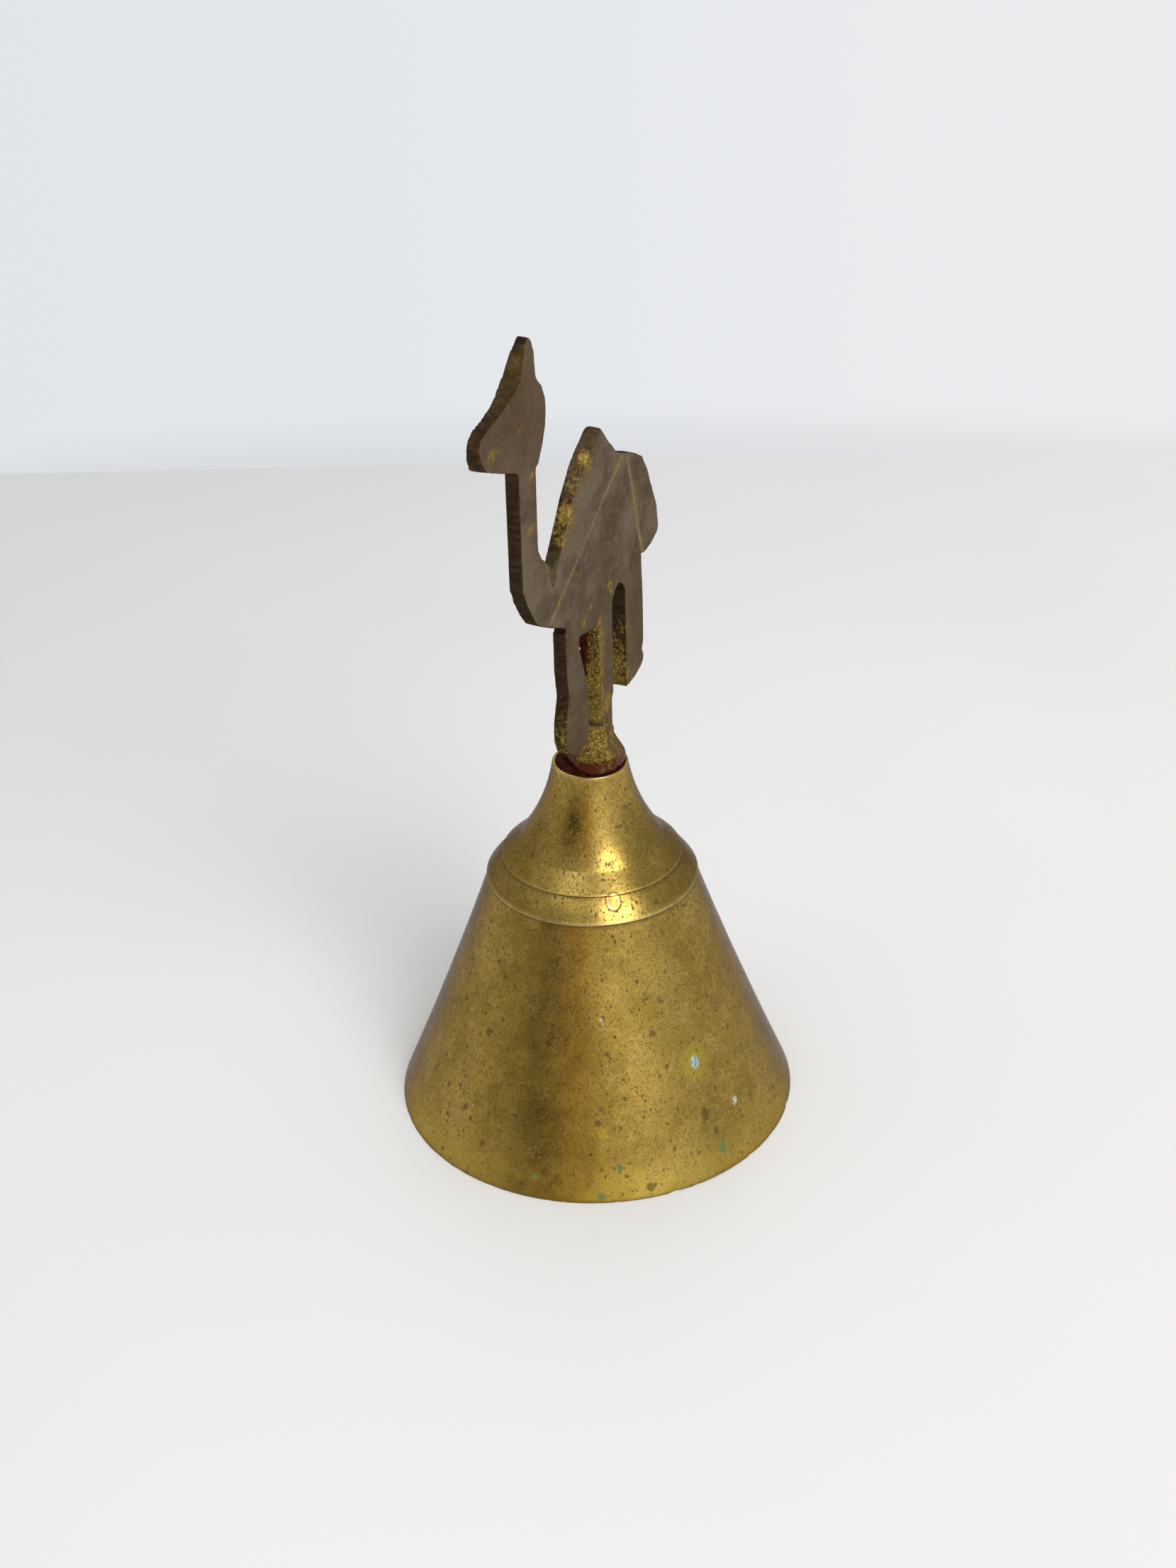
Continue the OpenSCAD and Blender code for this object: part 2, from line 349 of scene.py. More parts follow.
def lay_grain(sheet: Sheet, given: bpy.types.Node) -> dict[str, bpy.types.NodeSocket]:
    """Height of a cast or handled skin, in millimetres: slow waves under a fine grain."""
    place = given.outputs["Vector"]
    waves = sheet.noise(place, 0.12, 2.0, 0.5)
    grain = sheet.noise(place, 2.6, 4.0, 0.7)
    high = sheet.product(waves, given.outputs["Waves"])
    fine = sheet.product(grain, given.outputs["Grain"])
    return {"Height": sheet.total(high, fine)}


def lay_wear(sheet: Sheet, given: bpy.types.Node) -> dict[str, bpy.types.NodeSocket]:
    """Breaks a painted edge mask up, so that rubbing shows in streaks and not as a line."""
    broken = sheet.noise(given.outputs["Vector"], 0.9, 4.0, 0.7)
    depth = sheet.total(given.outputs["Edge"], sheet.remap(broken, 0.3, 0.7, -0.55, 0.35))
    return {"Mask": sheet.product(sheet.remap(depth, 0.35, 0.85),
                               given.outputs["Amount"])}


class Effects:
    """The effects that several materials share."""

    def __init__(self) -> None:
        """Builds each group once."""
        place = ("Vector", "Vector", 0.0)
        self.specks = new_group("Specks", (place, ("Scale", "Float", 1.0),
                                           ("Coverage", "Float", 0.3), ("Size", "Float", 0.4)),
                                ("Mask",), lay_specks)
        self.mottle = new_group("Mottle", (place, ("Broad", "Float", 0.1), ("Fine", "Float", 0.6)),
                                ("Clouds", "Flecks"), lay_mottle)
        self.grain = new_group("Grain", (place, ("Waves", "Float", 0.05), ("Grain", "Float", 0.01)),
                               ("Height",), lay_grain)
        self.wear = new_group("Wear", (place, ("Edge", "Float", 0.0), ("Amount", "Float", 1.0)),
                              ("Mask",), lay_wear)

    def spots(self, sheet: Sheet, place: Feed, scale: float, coverage: Feed,
              size: float) -> bpy.types.NodeSocket:
        """Mask of scattered spots.

        Args:
            sheet: the material's sheet.
            place: the point in millimetres.
            scale: how many cells there are in a millimetre.
            coverage: share of the cells that hold a spot.
            size: the largest spot's radius, in cells.

        Returns:
            The mask's socket.
        """
        return sheet.group(self.specks, Vector=place, Scale=scale, Coverage=coverage,
                           Size=size)["Mask"]

    def skin(self, sheet: Sheet, place: Feed, waves: float,
             grain: float) -> bpy.types.NodeSocket:
        """Height of a cast or handled skin, from the depths of its waves and its grain."""
        return sheet.group(self.grain, Vector=place, Waves=waves, Grain=grain)["Height"]

    def rubbed(self, sheet: Sheet, place: Feed, amount: float) -> bpy.types.NodeSocket:
        """Mask of the rubbing on the edges that are painted on the mesh."""
        return sheet.group(self.wear, Vector=place, Edge=sheet.painted("edge"),
                           Amount=amount)["Mask"]


@dataclass(frozen=True)
class Finish:
    """What every finish has: a name, and gloss that is the same all over."""

    name: str
    coat: float = 0.0
    coat_roughness: float = 0.3
    grazing: Colour = (1.0, 1.0, 1.0)
    sheen_level: float = 0.5

    def start(self) -> tuple[bpy.types.Material, Sheet, bpy.types.Node]:
        """Makes an empty material.

        Returns:
            The material, its sheet and its shader node.
        """
        material = bpy.data.materials.new(self.name)
        material.use_nodes = True
        sheet = Sheet(material.node_tree)
        shader = material.node_tree.nodes["Principled BSDF"]
        shader.inputs["Coat Roughness"].default_value = self.coat_roughness
        shader.inputs["Coat Weight"].default_value = self.coat
        shader.inputs["Specular Tint"].default_value = (*self.grazing, 1.0)
        shader.inputs["Specular IOR Level"].default_value = self.sheen_level
        return material, sheet, shader

    @staticmethod
    def relief(sheet: Sheet, shader: bpy.types.Node, height: Feed) -> None:
        """Turns a height in millimetres into relief."""
        bump = sheet.node("ShaderNodeBump")
        bump.inputs["Strength"].default_value = 1.0
        bump.inputs["Distance"].default_value = MM
        sheet.feed(bump.inputs["Height"], height)
        sheet.feed(shader.inputs["Normal"], bump.outputs["Normal"])


@dataclass(frozen=True)
class Stain:
    """One mark on the bell's side: kind, direction in degrees, height, size and stretch along z."""

    kind: Mark
    direction: float
    height: float
    size: float
    tall: float = 1.0


STAINS = (
    Stain(Mark.HALO, -117.8, 16.5, 2.6, 1.1), Stain(Mark.CRUST, -117.8, 16.5, 0.8, 1.3),
    Stain(Mark.WHITE, -153.0, 25.0, 0.42, 1.2), Stain(Mark.WHITE, -105.9, 8.5, 0.45, 2.2),
    Stain(Mark.HALO, -154.0, 9.6, 0.95), Stain(Mark.GREEN, -149.0, 4.6, 0.45, 2.6),
    Stain(Mark.GREEN, -173.9, 3.0, 0.5), Stain(Mark.GREEN, -154.8, 1.0, 0.7, 0.6),
    Stain(Mark.PIT, 159.7, 20.3, 0.62, 1.3), Stain(Mark.PIT, 157.8, 8.6, 0.5, 1.2),
    Stain(Mark.PIT, 151.0, 6.2, 0.45, 1.4), Stain(Mark.PIT, 167.3, 5.1, 0.6, 0.8),
    Stain(Mark.PIT, -132.2, 22.2, 0.55, 1.2), Stain(Mark.PIT, -118.8, 8.9, 0.8, 1.4),
    Stain(Mark.PIT, -140.2, 1.6, 1.0, 0.7), Stain(Mark.GREEN, -115.7, 3.4, 0.9, 1.4),
    Stain(Mark.PIT, -116.5, 6.0, 0.7, 1.0), Stain(Mark.PIT, -115.7, 48.5, 0.7, 1.2),
    Stain(Mark.GREEN, 62.0, 12.0, 0.7, 1.6), Stain(Mark.WHITE, 25.0, 20.0, 0.5, 1.2),
    Stain(Mark.HALO, -12.0, 9.0, 2.2, 1.0), Stain(Mark.CRUST, -12.0, 9.0, 0.5, 1.2),
    Stain(Mark.PIT, 85.0, 26.0, 0.7, 1.2), Stain(Mark.PIT, -50.0, 15.0, 0.6, 1.4),
)


# height and radius along the bell's side
SIDE = ((0.0, 30.0), (19.0, 22.4), (38.0, 15.4), (41.3, 13.1), (44.0, 10.6), (50.0, 7.35),
        (56.4, 5.45))


def side_radius(height: float) -> float:
    """Rough radius of the bell's side at a height, for placing marks."""
    heights, radii = zip(*SIDE)
    return float(np.interp(height, heights, radii))


@dataclass(frozen=True)
class BellBrass(Finish):
    """Satin turned brass under an olive tarnish, with specks, pits and a yellower lower rim."""

    gold: Colour = (0.455, 0.315, 0.074)
    olive: Colour = (0.28, 0.190, 0.034)
    orange: Colour = (0.38, 0.225, 0.026)
    yellow: Colour = (0.50, 0.35, 0.050)
    umber: Colour = (0.16, 0.095, 0.016)
    speck: Colour = (0.060, 0.034, 0.008)
    # colour of the dirt and painted shade in the corners under the steps, at the rim and round the
    # pin
    bright: Colour = (0.70, 0.52, 0.19)
    dirt_and_shade: Colour = (0.09, 0.05, 0.015)
    grime: Colour = (0.14, 0.085, 0.025)
    halo: Colour = (0.42, 0.32, 0.03)
    verdigris: Colour = (0.07, 0.16, 0.05)
    crust_deep: Colour = (0.14, 0.20, 0.22)
    crust_pale: Colour = (0.38, 0.46, 0.48)
    white: Colour = (0.46, 0.46, 0.42)
    grazing: Colour = (0.38, 0.36, 0.44)
    inside: bool = False

    def marks(self, sheet: Sheet, place: Feed, kind: Mark) -> bpy.types.NodeSocket:
        """Mask of every mark of one kind.

        Args:
            sheet: the material's sheet.
            place: the point in millimetres, shaken a little for ragged outlines.
            kind: the kind of mark.

        Returns:
            The mask's socket.
        """
        total: Feed = 0.0
        for mark in STAINS:
            if mark.kind is not kind:
                continue
            turn = math.radians(mark.direction)
            reach = side_radius(mark.height)
            spot = sheet.node("ShaderNodeMapping", vector_type="TEXTURE")
            sheet.feed(spot.inputs["Vector"], place)
            spot.inputs["Location"].default_value = (reach * math.cos(turn),
                                                     reach * math.sin(turn), mark.height)
            spot.inputs["Scale"].default_value = (mark.size, mark.size, mark.size * mark.tall)
            far = sheet.vector("LENGTH", spot.outputs[0])
            total = sheet.most(total, sheet.remap(far, 0.6, 1.15, 1.0, 0.0))
        return total

    def material(self, effects: Effects) -> bpy.types.Material:
        """Builds the material.

        Args:
            effects: the shared node groups.

        Returns:
            The material.
        """
        material, sheet, shader = self.start()
        place = sheet.place_mm()
        height = sheet.apart(place).outputs["Z"]
        stretched = sheet.vector("MULTIPLY", place, (1.0, 1.0, 0.7))
        mottle = sheet.group(effects.mottle, Vector=stretched, Broad=0.13, Fine=0.62)
        patches = sheet.group(effects.mottle, Vector=sheet.vector("ADD", place, (31.0, 7.0, 3.0)),
                              Broad=0.3, Fine=1.5)
        colour = sheet.mix(mottle["Clouds"], self.olive, self.gold)
        colour = sheet.over(colour, self.gold, mottle["Flecks"], 0.5)
        colour = sheet.over(colour, self.orange, patches["Clouds"], 0.3)
        colour = sheet.over(colour, self.olive, patches["Flecks"], 0.45)
        crumbly = sheet.noise(stretched, 3.4, 3.0, 0.7)
        colour = sheet.over(colour, self.umber, sheet.remap(crumbly, 0.48, 0.64, 0.0, 0.7))

        # the lower rim is handled brighter, and its very edge is dark
        low = sheet.total(height, sheet.remap(mottle["Flecks"], 0.0, 1.0, -1.5, 1.5))
        low = sheet.remap(low, 1.2, 5.5, 1.0, 0.0)
        colour = sheet.over(colour, self.yellow, low, 0.45)

        # specks, thickest on the neck and the upper skirt
        thick = sheet.remap(height, 2.0, 44.0, 0.42, 0.80)
        fine = effects.spots(sheet, stretched, 1.15, thick, 0.42)
        elsewhere = sheet.vector("ADD", place, (9.0, 4.0, 17.0))
        coarse = effects.spots(sheet, elsewhere, 0.42, 0.3, 0.3)
        dust = effects.spots(sheet, place, 2.1, sheet.total(thick, 0.1), 0.42)
        ragged = sheet.noise(place, 1.4, 4.0, 0.7)
        spots = sheet.product(fine, sheet.remap(ragged, 0.35, 0.6, 0.35, 1.0))
        spots = sheet.most(spots, sheet.product(coarse, 0.8))
        spots = sheet.most(spots, sheet.product(dust, 0.8))

        shaken = sheet.shaken(place, 1.1, 1.3, 2.0)
        pit, halo, green, crust, white = (self.marks(sheet, shaken, kind) for kind in (
            Mark.PIT, Mark.HALO, Mark.GREEN, Mark.CRUST, Mark.WHITE))
        spots = sheet.most(spots, sheet.product(pit, 0.8))
        colour = sheet.over(colour, self.halo, halo, 0.7)
        colour = sheet.over(colour, self.speck, spots, 0.8)
        colour = sheet.over(colour, self.verdigris, green, 0.8)

        # rubbed edges; below them dirt and painted shade darken the corners under the steps, and
        # the rim's edge and the ring round the pin are darker too
        broken = sheet.remap(sheet.noise(place, 0.35, 2.0), 0.3, 0.6, 0.45, 0.9)
        rubbed = sheet.product(sheet.painted("edge"), broken)
        colour = sheet.over(colour, self.bright, rubbed)
        dirt_and_shade = sheet.painted("dirt_and_shade")
        dirt_and_shade = sheet.product(dirt_and_shade, sheet.remap(ragged, 0.3, 0.55, 0.4, 1.0))
        colour = sheet.over(colour, self.dirt_and_shade, dirt_and_shade, 0.8)
        if self.inside:
            grime = sheet.remap(sheet.noise(place, 0.22, 5.0, 0.65), 0.35, 0.65)
            colour = sheet.over(colour, self.grime, grime, 0.75)
        crusts = sheet.mix(sheet.remap(ragged, 0.4, 0.6), self.crust_deep, self.crust_pale)
        colour = sheet.over(colour, crusts, crust)
        colour = sheet.over(colour, self.white, white)
        sheet.feed(shader.inputs["Base Color"], colour)

        dull = sheet.most(crust, white)
        dull = sheet.most(dull, sheet.product(green, 0.7))
        dull = sheet.most(dull, sheet.product(spots, 0.35))
        sheet.feed(shader.inputs["Metallic"], sheet.math("SUBTRACT", 1.0, dull, clamp=True))
        rough = sheet.remap(mottle["Flecks"], 0.0, 1.0, 0.29, 0.23)
        rough = sheet.total(rough, sheet.product(patches["Clouds"], 0.06))
        rough = sheet.total(rough, sheet.product(spots, 0.22))
        rough = sheet.total(rough, sheet.product(dull, 0.3))
        if self.inside:
            rough = sheet.total(rough, 0.12)
        sheet.feed(shader.inputs["Roughness"], sheet.math("MINIMUM", rough, 0.85))

        relief = effects.skin(sheet, place, 0.22, 0.011)
        rings = sheet.noise(sheet.vector("MULTIPLY", place, (0.02, 0.02, 1.0)), 3.2, 2.0, 0.6)
        relief = sheet.total(relief,
                            sheet.product(rings, 0.05 if self.inside else 0.004))
        relief = sheet.math("SUBTRACT", relief, sheet.product(spots, 0.02))
        relief = sheet.total(relief, sheet.product(crust, 0.08))
        self.relief(sheet, shader, relief)
        return material


@dataclass(frozen=True)
class CamelBrass(Finish):
    """Cast brass under matt grey-brown tarnish, rubbed back to gold on its proud edges."""

    grey: Colour = (0.166, 0.124, 0.082)
    brown: Colour = (0.088, 0.058, 0.034)
    umber: Colour = (0.018, 0.009, 0.003)
    tan: Colour = (0.235, 0.185, 0.105)
    gold: Colour = (0.42, 0.29, 0.065)
    dull_gold: Colour = (0.20, 0.130, 0.030)
    red: Colour = (0.075, 0.014, 0.006)
    olive: Colour = (0.120, 0.108, 0.062)
    face: Colour = (0.105, 0.063, 0.034)
    legs: Colour = (0.095, 0.062, 0.026)
    rust: Colour = (0.06, 0.026, 0.009)
    grazing: Colour = (0.5, 0.45, 0.4)
    sheen_level: float = 0.15

    def material(self, effects: Effects) -> bpy.types.Material:
        """Builds the material.

        Args:
            effects: the shared node groups.

        Returns:
            The material.
        """
        material, sheet, shader = self.start()
        place = sheet.place_mm()
        mottle = sheet.group(effects.mottle, Vector=place, Broad=0.16, Fine=0.9)
        ragged = sheet.noise(place, 1.6, 5.0, 0.7)
        colour = sheet.mix(mottle["Clouds"], self.brown, self.grey)
        colour = sheet.over(colour, self.grey, mottle["Flecks"], 0.35)
        green = sheet.remap(sheet.noise(place, 0.33, 3.0, 0.6), 0.52, 0.7, 0.0, 0.35)
        colour = sheet.over(colour, self.olive, green)
        apart = sheet.apart(place)
        head = sheet.remap(apart.outputs["Z"], 92.0, 114.0, 0.0, 0.6)
        head = sheet.product(head, sheet.remap(apart.outputs["X"], -16.0, -9.0, 1.0, 0.0))
        colour = sheet.over(colour, self.face, head)
        stand = sheet.remap(apart.outputs["Z"], 79.0, 84.0, 0.55, 0.0)
        colour = sheet.over(colour, self.legs, stand)

        # the sawn and filed edges are darker, with marks across them: partly the filed metal's own
        # colour, partly painted shade on the plate's sides
        sawn_and_shaded_sides = sheet.painted("sawn")
        across = sheet.noise(sheet.vector("MULTIPLY", place, (0.25, 0.25, 1.0)), 2.1, 3.0, 0.65)
        filed_and_shaded_colour = sheet.mix(sheet.remap(across, 0.35, 0.85, 0.1, 0.8), self.umber, self.brown)
        colour = sheet.over(colour, filed_and_shaded_colour, sawn_and_shaded_sides, 0.92)
        red_brown = sheet.remap(sheet.noise(place, 0.45, 3.0), 0.5, 0.7, 0.0, 0.5)
        colour = sheet.over(colour, self.rust, sheet.product(sawn_and_shaded_sides, red_brown))

        dark = effects.spots(sheet, place, 1.5, 0.35, 0.36)
        colour = sheet.over(colour, self.umber, dark, 0.5)

        cut = sheet.product(sheet.painted("groove"), sheet.remap(ragged, 0.36, 0.5))
        colour = sheet.over(colour, self.tan, cut, 0.85)

        # gold shows where the casting is rubbed, in the engraved lines and on the rough post
        painted = sheet.painted("gold")
        broken = sheet.remap(ragged, 0.36, 0.62, -0.36, 0.24)
        rubbed = sheet.remap(sheet.total(painted, broken), 0.18, 0.95)
        rubbed = sheet.product(rubbed, sheet.remap(painted, 0.02, 0.2))
        elsewhere = sheet.vector("ADD", place, (5.0, 2.0, 8.0))
        flecks = effects.spots(sheet, elsewhere, 1.3, 0.12, 0.25)
        rubbed = sheet.most(rubbed, effects.rubbed(sheet, place, 0.07))
        rubbed = sheet.most(rubbed, sheet.product(flecks, 0.55))
        tone = sheet.mix(sheet.remap(sheet.noise(place, 2.6, 3.0), 0.35, 0.62),
                         self.dull_gold, self.gold)
        colour = sheet.over(colour, tone, rubbed)

        crumbs = sheet.painted("crumbs")
        pits = sheet.remap(sheet.noise(place, 2.8, 5.0, 0.8), 0.47, 0.60)
        pits = sheet.product(pits, crumbs)
        colour = sheet.over(colour, self.umber, pits, 0.85)
        smear = sheet.total(sheet.painted("lac"), sheet.remap(ragged, 0.3, 0.7, -0.4, 0.4))
        smear = sheet.product(sheet.remap(smear, 0.4, 0.8),
                           sheet.remap(sheet.painted("lac"), 0.02, 0.2))
        colour = sheet.over(colour, self.red, smear)
        sheet.feed(shader.inputs["Base Color"], colour)

        metal = sheet.remap(rubbed, 0.0, 1.0, 0.45, 0.95, smooth=False)
        metal = sheet.most(metal, sheet.product(sawn_and_shaded_sides, 0.8))
        sheet.feed(shader.inputs["Metallic"], sheet.math("SUBTRACT", metal, smear, clamp=True))
        rough = sheet.remap(mottle["Flecks"], 0.0, 1.0, 0.62, 0.52)
        rough = sheet.math("SUBTRACT", rough, sheet.product(rubbed, 0.16))
        rough = sheet.math("SUBTRACT", rough, sheet.product(smear, 0.2))
        sheet.feed(shader.inputs["Roughness"], rough)

        relief = effects.skin(sheet, place, 0.26, 0.07)
        filed = sheet.product(sheet.product(across, sawn_and_shaded_sides), 0.10)
        relief = sheet.total(relief, filed)
        coarse = sheet.product(sheet.noise(place, 1.9, 4.0, 0.75), crumbs)
        relief = sheet.total(relief, sheet.product(coarse, 0.28))
        relief = sheet.math("SUBTRACT", relief, sheet.product(dark, 0.03))
        self.relief(sheet, shader, relief)
        return material


@dataclass(frozen=True)
class OldLac(Finish):
    """Dark red lac that has set in crumbs, glossy where it broke."""

    deep: Colour = (0.014, 0.002, 0.001)
    red: Colour = (0.055, 0.008, 0.003)
    dust: Colour = (0.07, 0.028, 0.010)
    sheen_level: float = 0.04

    def material(self, effects: Effects) -> bpy.types.Material:
        """Builds the material.

        Args:
            effects: the shared node groups.

        Returns:
            The material.
        """
        material, sheet, shader = self.start()
        place = sheet.place_mm()
        mottle = sheet.group(effects.mottle, Vector=place, Broad=0.7, Fine=2.4)
        colour = sheet.mix(mottle["Clouds"], self.deep, self.red)
        colour = sheet.over(colour, self.deep, mottle["Flecks"], 0.5)
        dust = effects.spots(sheet, place, 2.6, 0.3, 0.35)
        colour = sheet.over(colour, self.dust, dust, 0.6)
        sheet.feed(shader.inputs["Base Color"], colour)
        sheet.feed(shader.inputs["Roughness"], sheet.remap(mottle["Flecks"], 0.0, 1.0, 0.35, 0.65))
        relief = effects.skin(sheet, place, 0.1, 0.12)
        self.relief(sheet, shader, relief)
        return material


@dataclass(frozen=True)
class PlainBrass(Finish):
    """Brass of the small fittings: drawn wire, the pin and the turned ball."""

    bright: Colour = (0.62, 0.42, 0.10)
    dull: Colour = (0.30, 0.19, 0.06)
    speck: Colour = (0.08, 0.045, 0.015)
    worn: Colour = (0.80, 0.60, 0.22)
    gloss: float = 0.34
    dirt_and_shade: float = 0.5

    def material(self, effects: Effects) -> bpy.types.Material:
        """Builds the material.

        Args:
            effects: the shared node groups.

        Returns:
            The material.
        """
        material, sheet, shader = self.start()
        place = sheet.place_mm()
        mottle = sheet.group(effects.mottle, Vector=place, Broad=0.35, Fine=1.4)
        colour = sheet.mix(mottle["Clouds"], self.dull, self.bright)
        colour = sheet.over(colour, self.dull, mottle["Flecks"], 0.4)
        specks = effects.spots(sheet, place, 2.0, 0.35, 0.4)
        colour = sheet.over(colour, self.speck, specks, self.dirt_and_shade)
        colour = sheet.over(colour, self.worn, effects.rubbed(sheet, place, 0.7))
        sheet.feed(shader.inputs["Base Color"], colour)
        sheet.feed(shader.inputs["Metallic"], sheet.remap(specks, 0.0, 1.0, 1.0, 0.6))
        rough = sheet.remap(mottle["Flecks"], 0.0, 1.0, self.gloss, self.gloss + 0.12)
        sheet.feed(shader.inputs["Roughness"],
                   sheet.total(rough, sheet.product(specks, 0.2)))
        relief = effects.skin(sheet, place, 0.05, 0.02)
        self.relief(sheet, shader, relief)
        return material


@dataclass(frozen=True)
class Tabletop(Finish):
    """Matt white table with a painted falloff of light, darker towards the far left; only seen from
    above and open under the bell to let light in.
    """

    near: Colour = (0.905, 0.905, 0.905)
    far: Colour = (0.645, 0.655, 0.67)
    painted_shade_way: Colour = (0.42, 0.91, 0.0)
    under_bell: float = 0.25
    sheen_level: float = 0.25

    def material(self, effects: Effects) -> bpy.types.Material:
        """Builds the material.

        Args:
            effects: the shared node groups.

        Returns:
            The material.
        """
        material, sheet, shader = self.start()
        place = sheet.place_mm()
        # painted falloff of light: the colour darkens from the near side towards the far left, as
        # the light falls off across the table
        along = sheet.vector("DOT_PRODUCT", place, self.painted_shade_way)
        along = sheet.total(along, sheet.remap(sheet.noise(place, 0.004), 0.3, 0.7, -30, 30))
        colour = sheet.mix(sheet.remap(along, -150.0, 340.0), self.near, self.far)
        sheet.feed(shader.inputs["Base Color"], colour)
        shader.inputs["Roughness"].default_value = 0.7
        clear = sheet.node("ShaderNodeBsdfTransparent")
        facing = sheet.node("ShaderNodeNewGeometry")
        apart = sheet.vector("LENGTH", sheet.vector("MULTIPLY", place, (1.0, 1.0, 0.0)))
        open_below = sheet.math("LESS_THAN", apart, MOUTH_R - self.under_bell)
        open_below = sheet.most(open_below, facing.outputs["Backfacing"])
        pick = sheet.node("ShaderNodeMixShader")
        sheet.feed(pick.inputs[0], open_below)
        sheet.feed(pick.inputs[1], shader.outputs[0])
        sheet.feed(pick.inputs[2], clear.outputs[0])
        end = next(n for n in sheet.tree.nodes if n.type == "OUTPUT_MATERIAL")
        sheet.feed(end.inputs["Surface"], pick.outputs[0])
        return material


# ---------------------------------------------------------------- mesh helpers


def to_object(bm: bmesh.types.BMesh, name: str, sharp: float = SHARP) -> bpy.types.Object:
    """Turns a bmesh into an object at the origin, smooth but for its sharp edges.

    Args:
        bm: the mesh, in metres, which is freed.
        name: the object's name.
        sharp: angle over which an edge stays sharp, in degrees.

    Returns:
        The object.
    """
    mesh = bpy.data.meshes.new(name)
    bm.to_mesh(mesh)
    bm.free()
    mesh.shade_smooth()
    mesh.set_sharp_from_angle(angle=math.radians(sharp))
    made = bpy.data.objects.new(name, mesh)
    bpy.context.scene.collection.objects.link(made)
    return made


def settle(piece: bpy.types.Object) -> None:
    """Applies a piece's modifiers."""
    graph = bpy.context.evaluated_depsgraph_get()
    final = bpy.data.meshes.new_from_object(piece.evaluated_get(graph),
                                            preserve_all_data_layers=True, depsgraph=graph)
    old = piece.data
    piece.modifiers.clear()
    piece.data = final
    final.name = piece.name
    bpy.data.meshes.remove(old)


def remesh(piece: bpy.types.Object, cell: float) -> None:
    """Gives a piece an even skin of small faces, and joins what overlaps in it.

    Args:
        piece: the piece.
        cell: width of a face in millimetres.
    """
    skin = piece.modifiers.new("skin", "REMESH")
    skin.mode = "VOXEL"
    skin.voxel_size = cell * MM
    skin.use_smooth_shade = True
    settle(piece)


def soften(piece: bpy.types.Object, rounds: int,
           where: Callable[[Vector], bool] = lambda at: True) -> None:
    """Relaxes a piece's skin.

    Args:
        piece: the piece.
        rounds: how many times.
        where: tells whether a place, in metres, is relaxed.
    """
    bm = bmesh.new()
    bm.from_mesh(piece.data)
    chosen = [v for v in bm.verts if where(v.co)]
    for _ in range(rounds):
        bmesh.ops.smooth_vert(bm, verts=chosen, factor=0.5, use_axis_x=True, use_axis_y=True,
                              use_axis_z=True)
    bm.to_mesh(piece.data)
    bm.free()


def points_of(piece: bpy.types.Object) -> np.ndarray:
    """A piece's points in millimetres."""
    co = np.zeros(len(piece.data.vertices) * 3, np.float32)
    piece.data.vertices.foreach_get("co", co)
    return co.reshape(-1, 3).astype(float) / MM


def normals_of(piece: bpy.types.Object) -> np.ndarray:
    """A piece's normals at its points."""
    out = np.zeros(len(piece.data.vertices) * 3, np.float32)
    piece.data.vertices.foreach_get("normal", out)
    return out.reshape(-1, 3).astype(float)


def move_points(piece: bpy.types.Object, points: np.ndarray) -> None:
    """Puts a piece's points where they are given, in millimetres."""
    piece.data.vertices.foreach_set("co", (points * MM).astype(np.float32).ravel())
    piece.data.update()


def paint(piece: bpy.types.Object, name: str, values: np.ndarray) -> None:
    """Paints a mask on a piece's points.

    Args:
        piece: the piece.
        name: the mask's name.
        values: one value for each point.
    """
    mask = piece.data.attributes.new(name, "FLOAT", "POINT")
    mask.data.foreach_set("value", np.clip(values, 0.0, 1.0).astype(np.float32))


def cloud(points: np.ndarray, size: float, seed: float = 0.0) -> np.ndarray:
    """Noise of about -1 to 1 at each point.

    Args:
        points: the points in millimetres.
        size: width of its lumps in millimetres.
        seed: moves the pattern.

    Returns:
        One value for each point.
    """
    shifted = points / size + seed
    return np.array([noise.noise(Vector(p)) for p in shifted])


def ease(values: np.ndarray, lo: float, hi: float) -> np.ndarray:
    """Eases values from 0 at lo to 1 at hi."""
    share = np.clip((values - lo) / (hi - lo), 0.0, 1.0)
    return share * share * (3 - 2 * share)


def fade(away: np.ndarray, width: float) -> np.ndarray:
    """Falls off from 1 as a bell curve does.

    Args:
        away: distances.
        width: the distance at which about a third is left.

    Returns:
        One value for each distance.
    """
    return np.exp(-(away / width) ** 2)


def near_line(points: np.ndarray, a: Sequence[float], b: Sequence[float]) -> np.ndarray:
    """Distance of each point from a straight line between two others."""
    start, end = np.array(a, float), np.array(b, float)
    along = end - start
    share = np.clip((points - start) @ along / (along @ along), 0.0, 1.0)
    return np.linalg.norm(points - start - share[:, None] * along, axis=1)


def resample(line: np.ndarray, count: int = 12) -> np.ndarray:
    """Points close together along a line of a few."""
    shares = np.linspace(0.0, 1.0, count)[:, None]
    return np.vstack([a + shares * (b - a) for a, b in zip(line, line[1:])])


def joined_mesh(node: str) -> bmesh.types.BMesh:
    """A CAD node's mesh, with its loose triangles joined."""
    bm = bmesh.new()
    bm.from_mesh(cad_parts[node].data)
    bmesh.ops.remove_doubles(bm, verts=bm.verts, dist=CAD_WELD)
    return bm


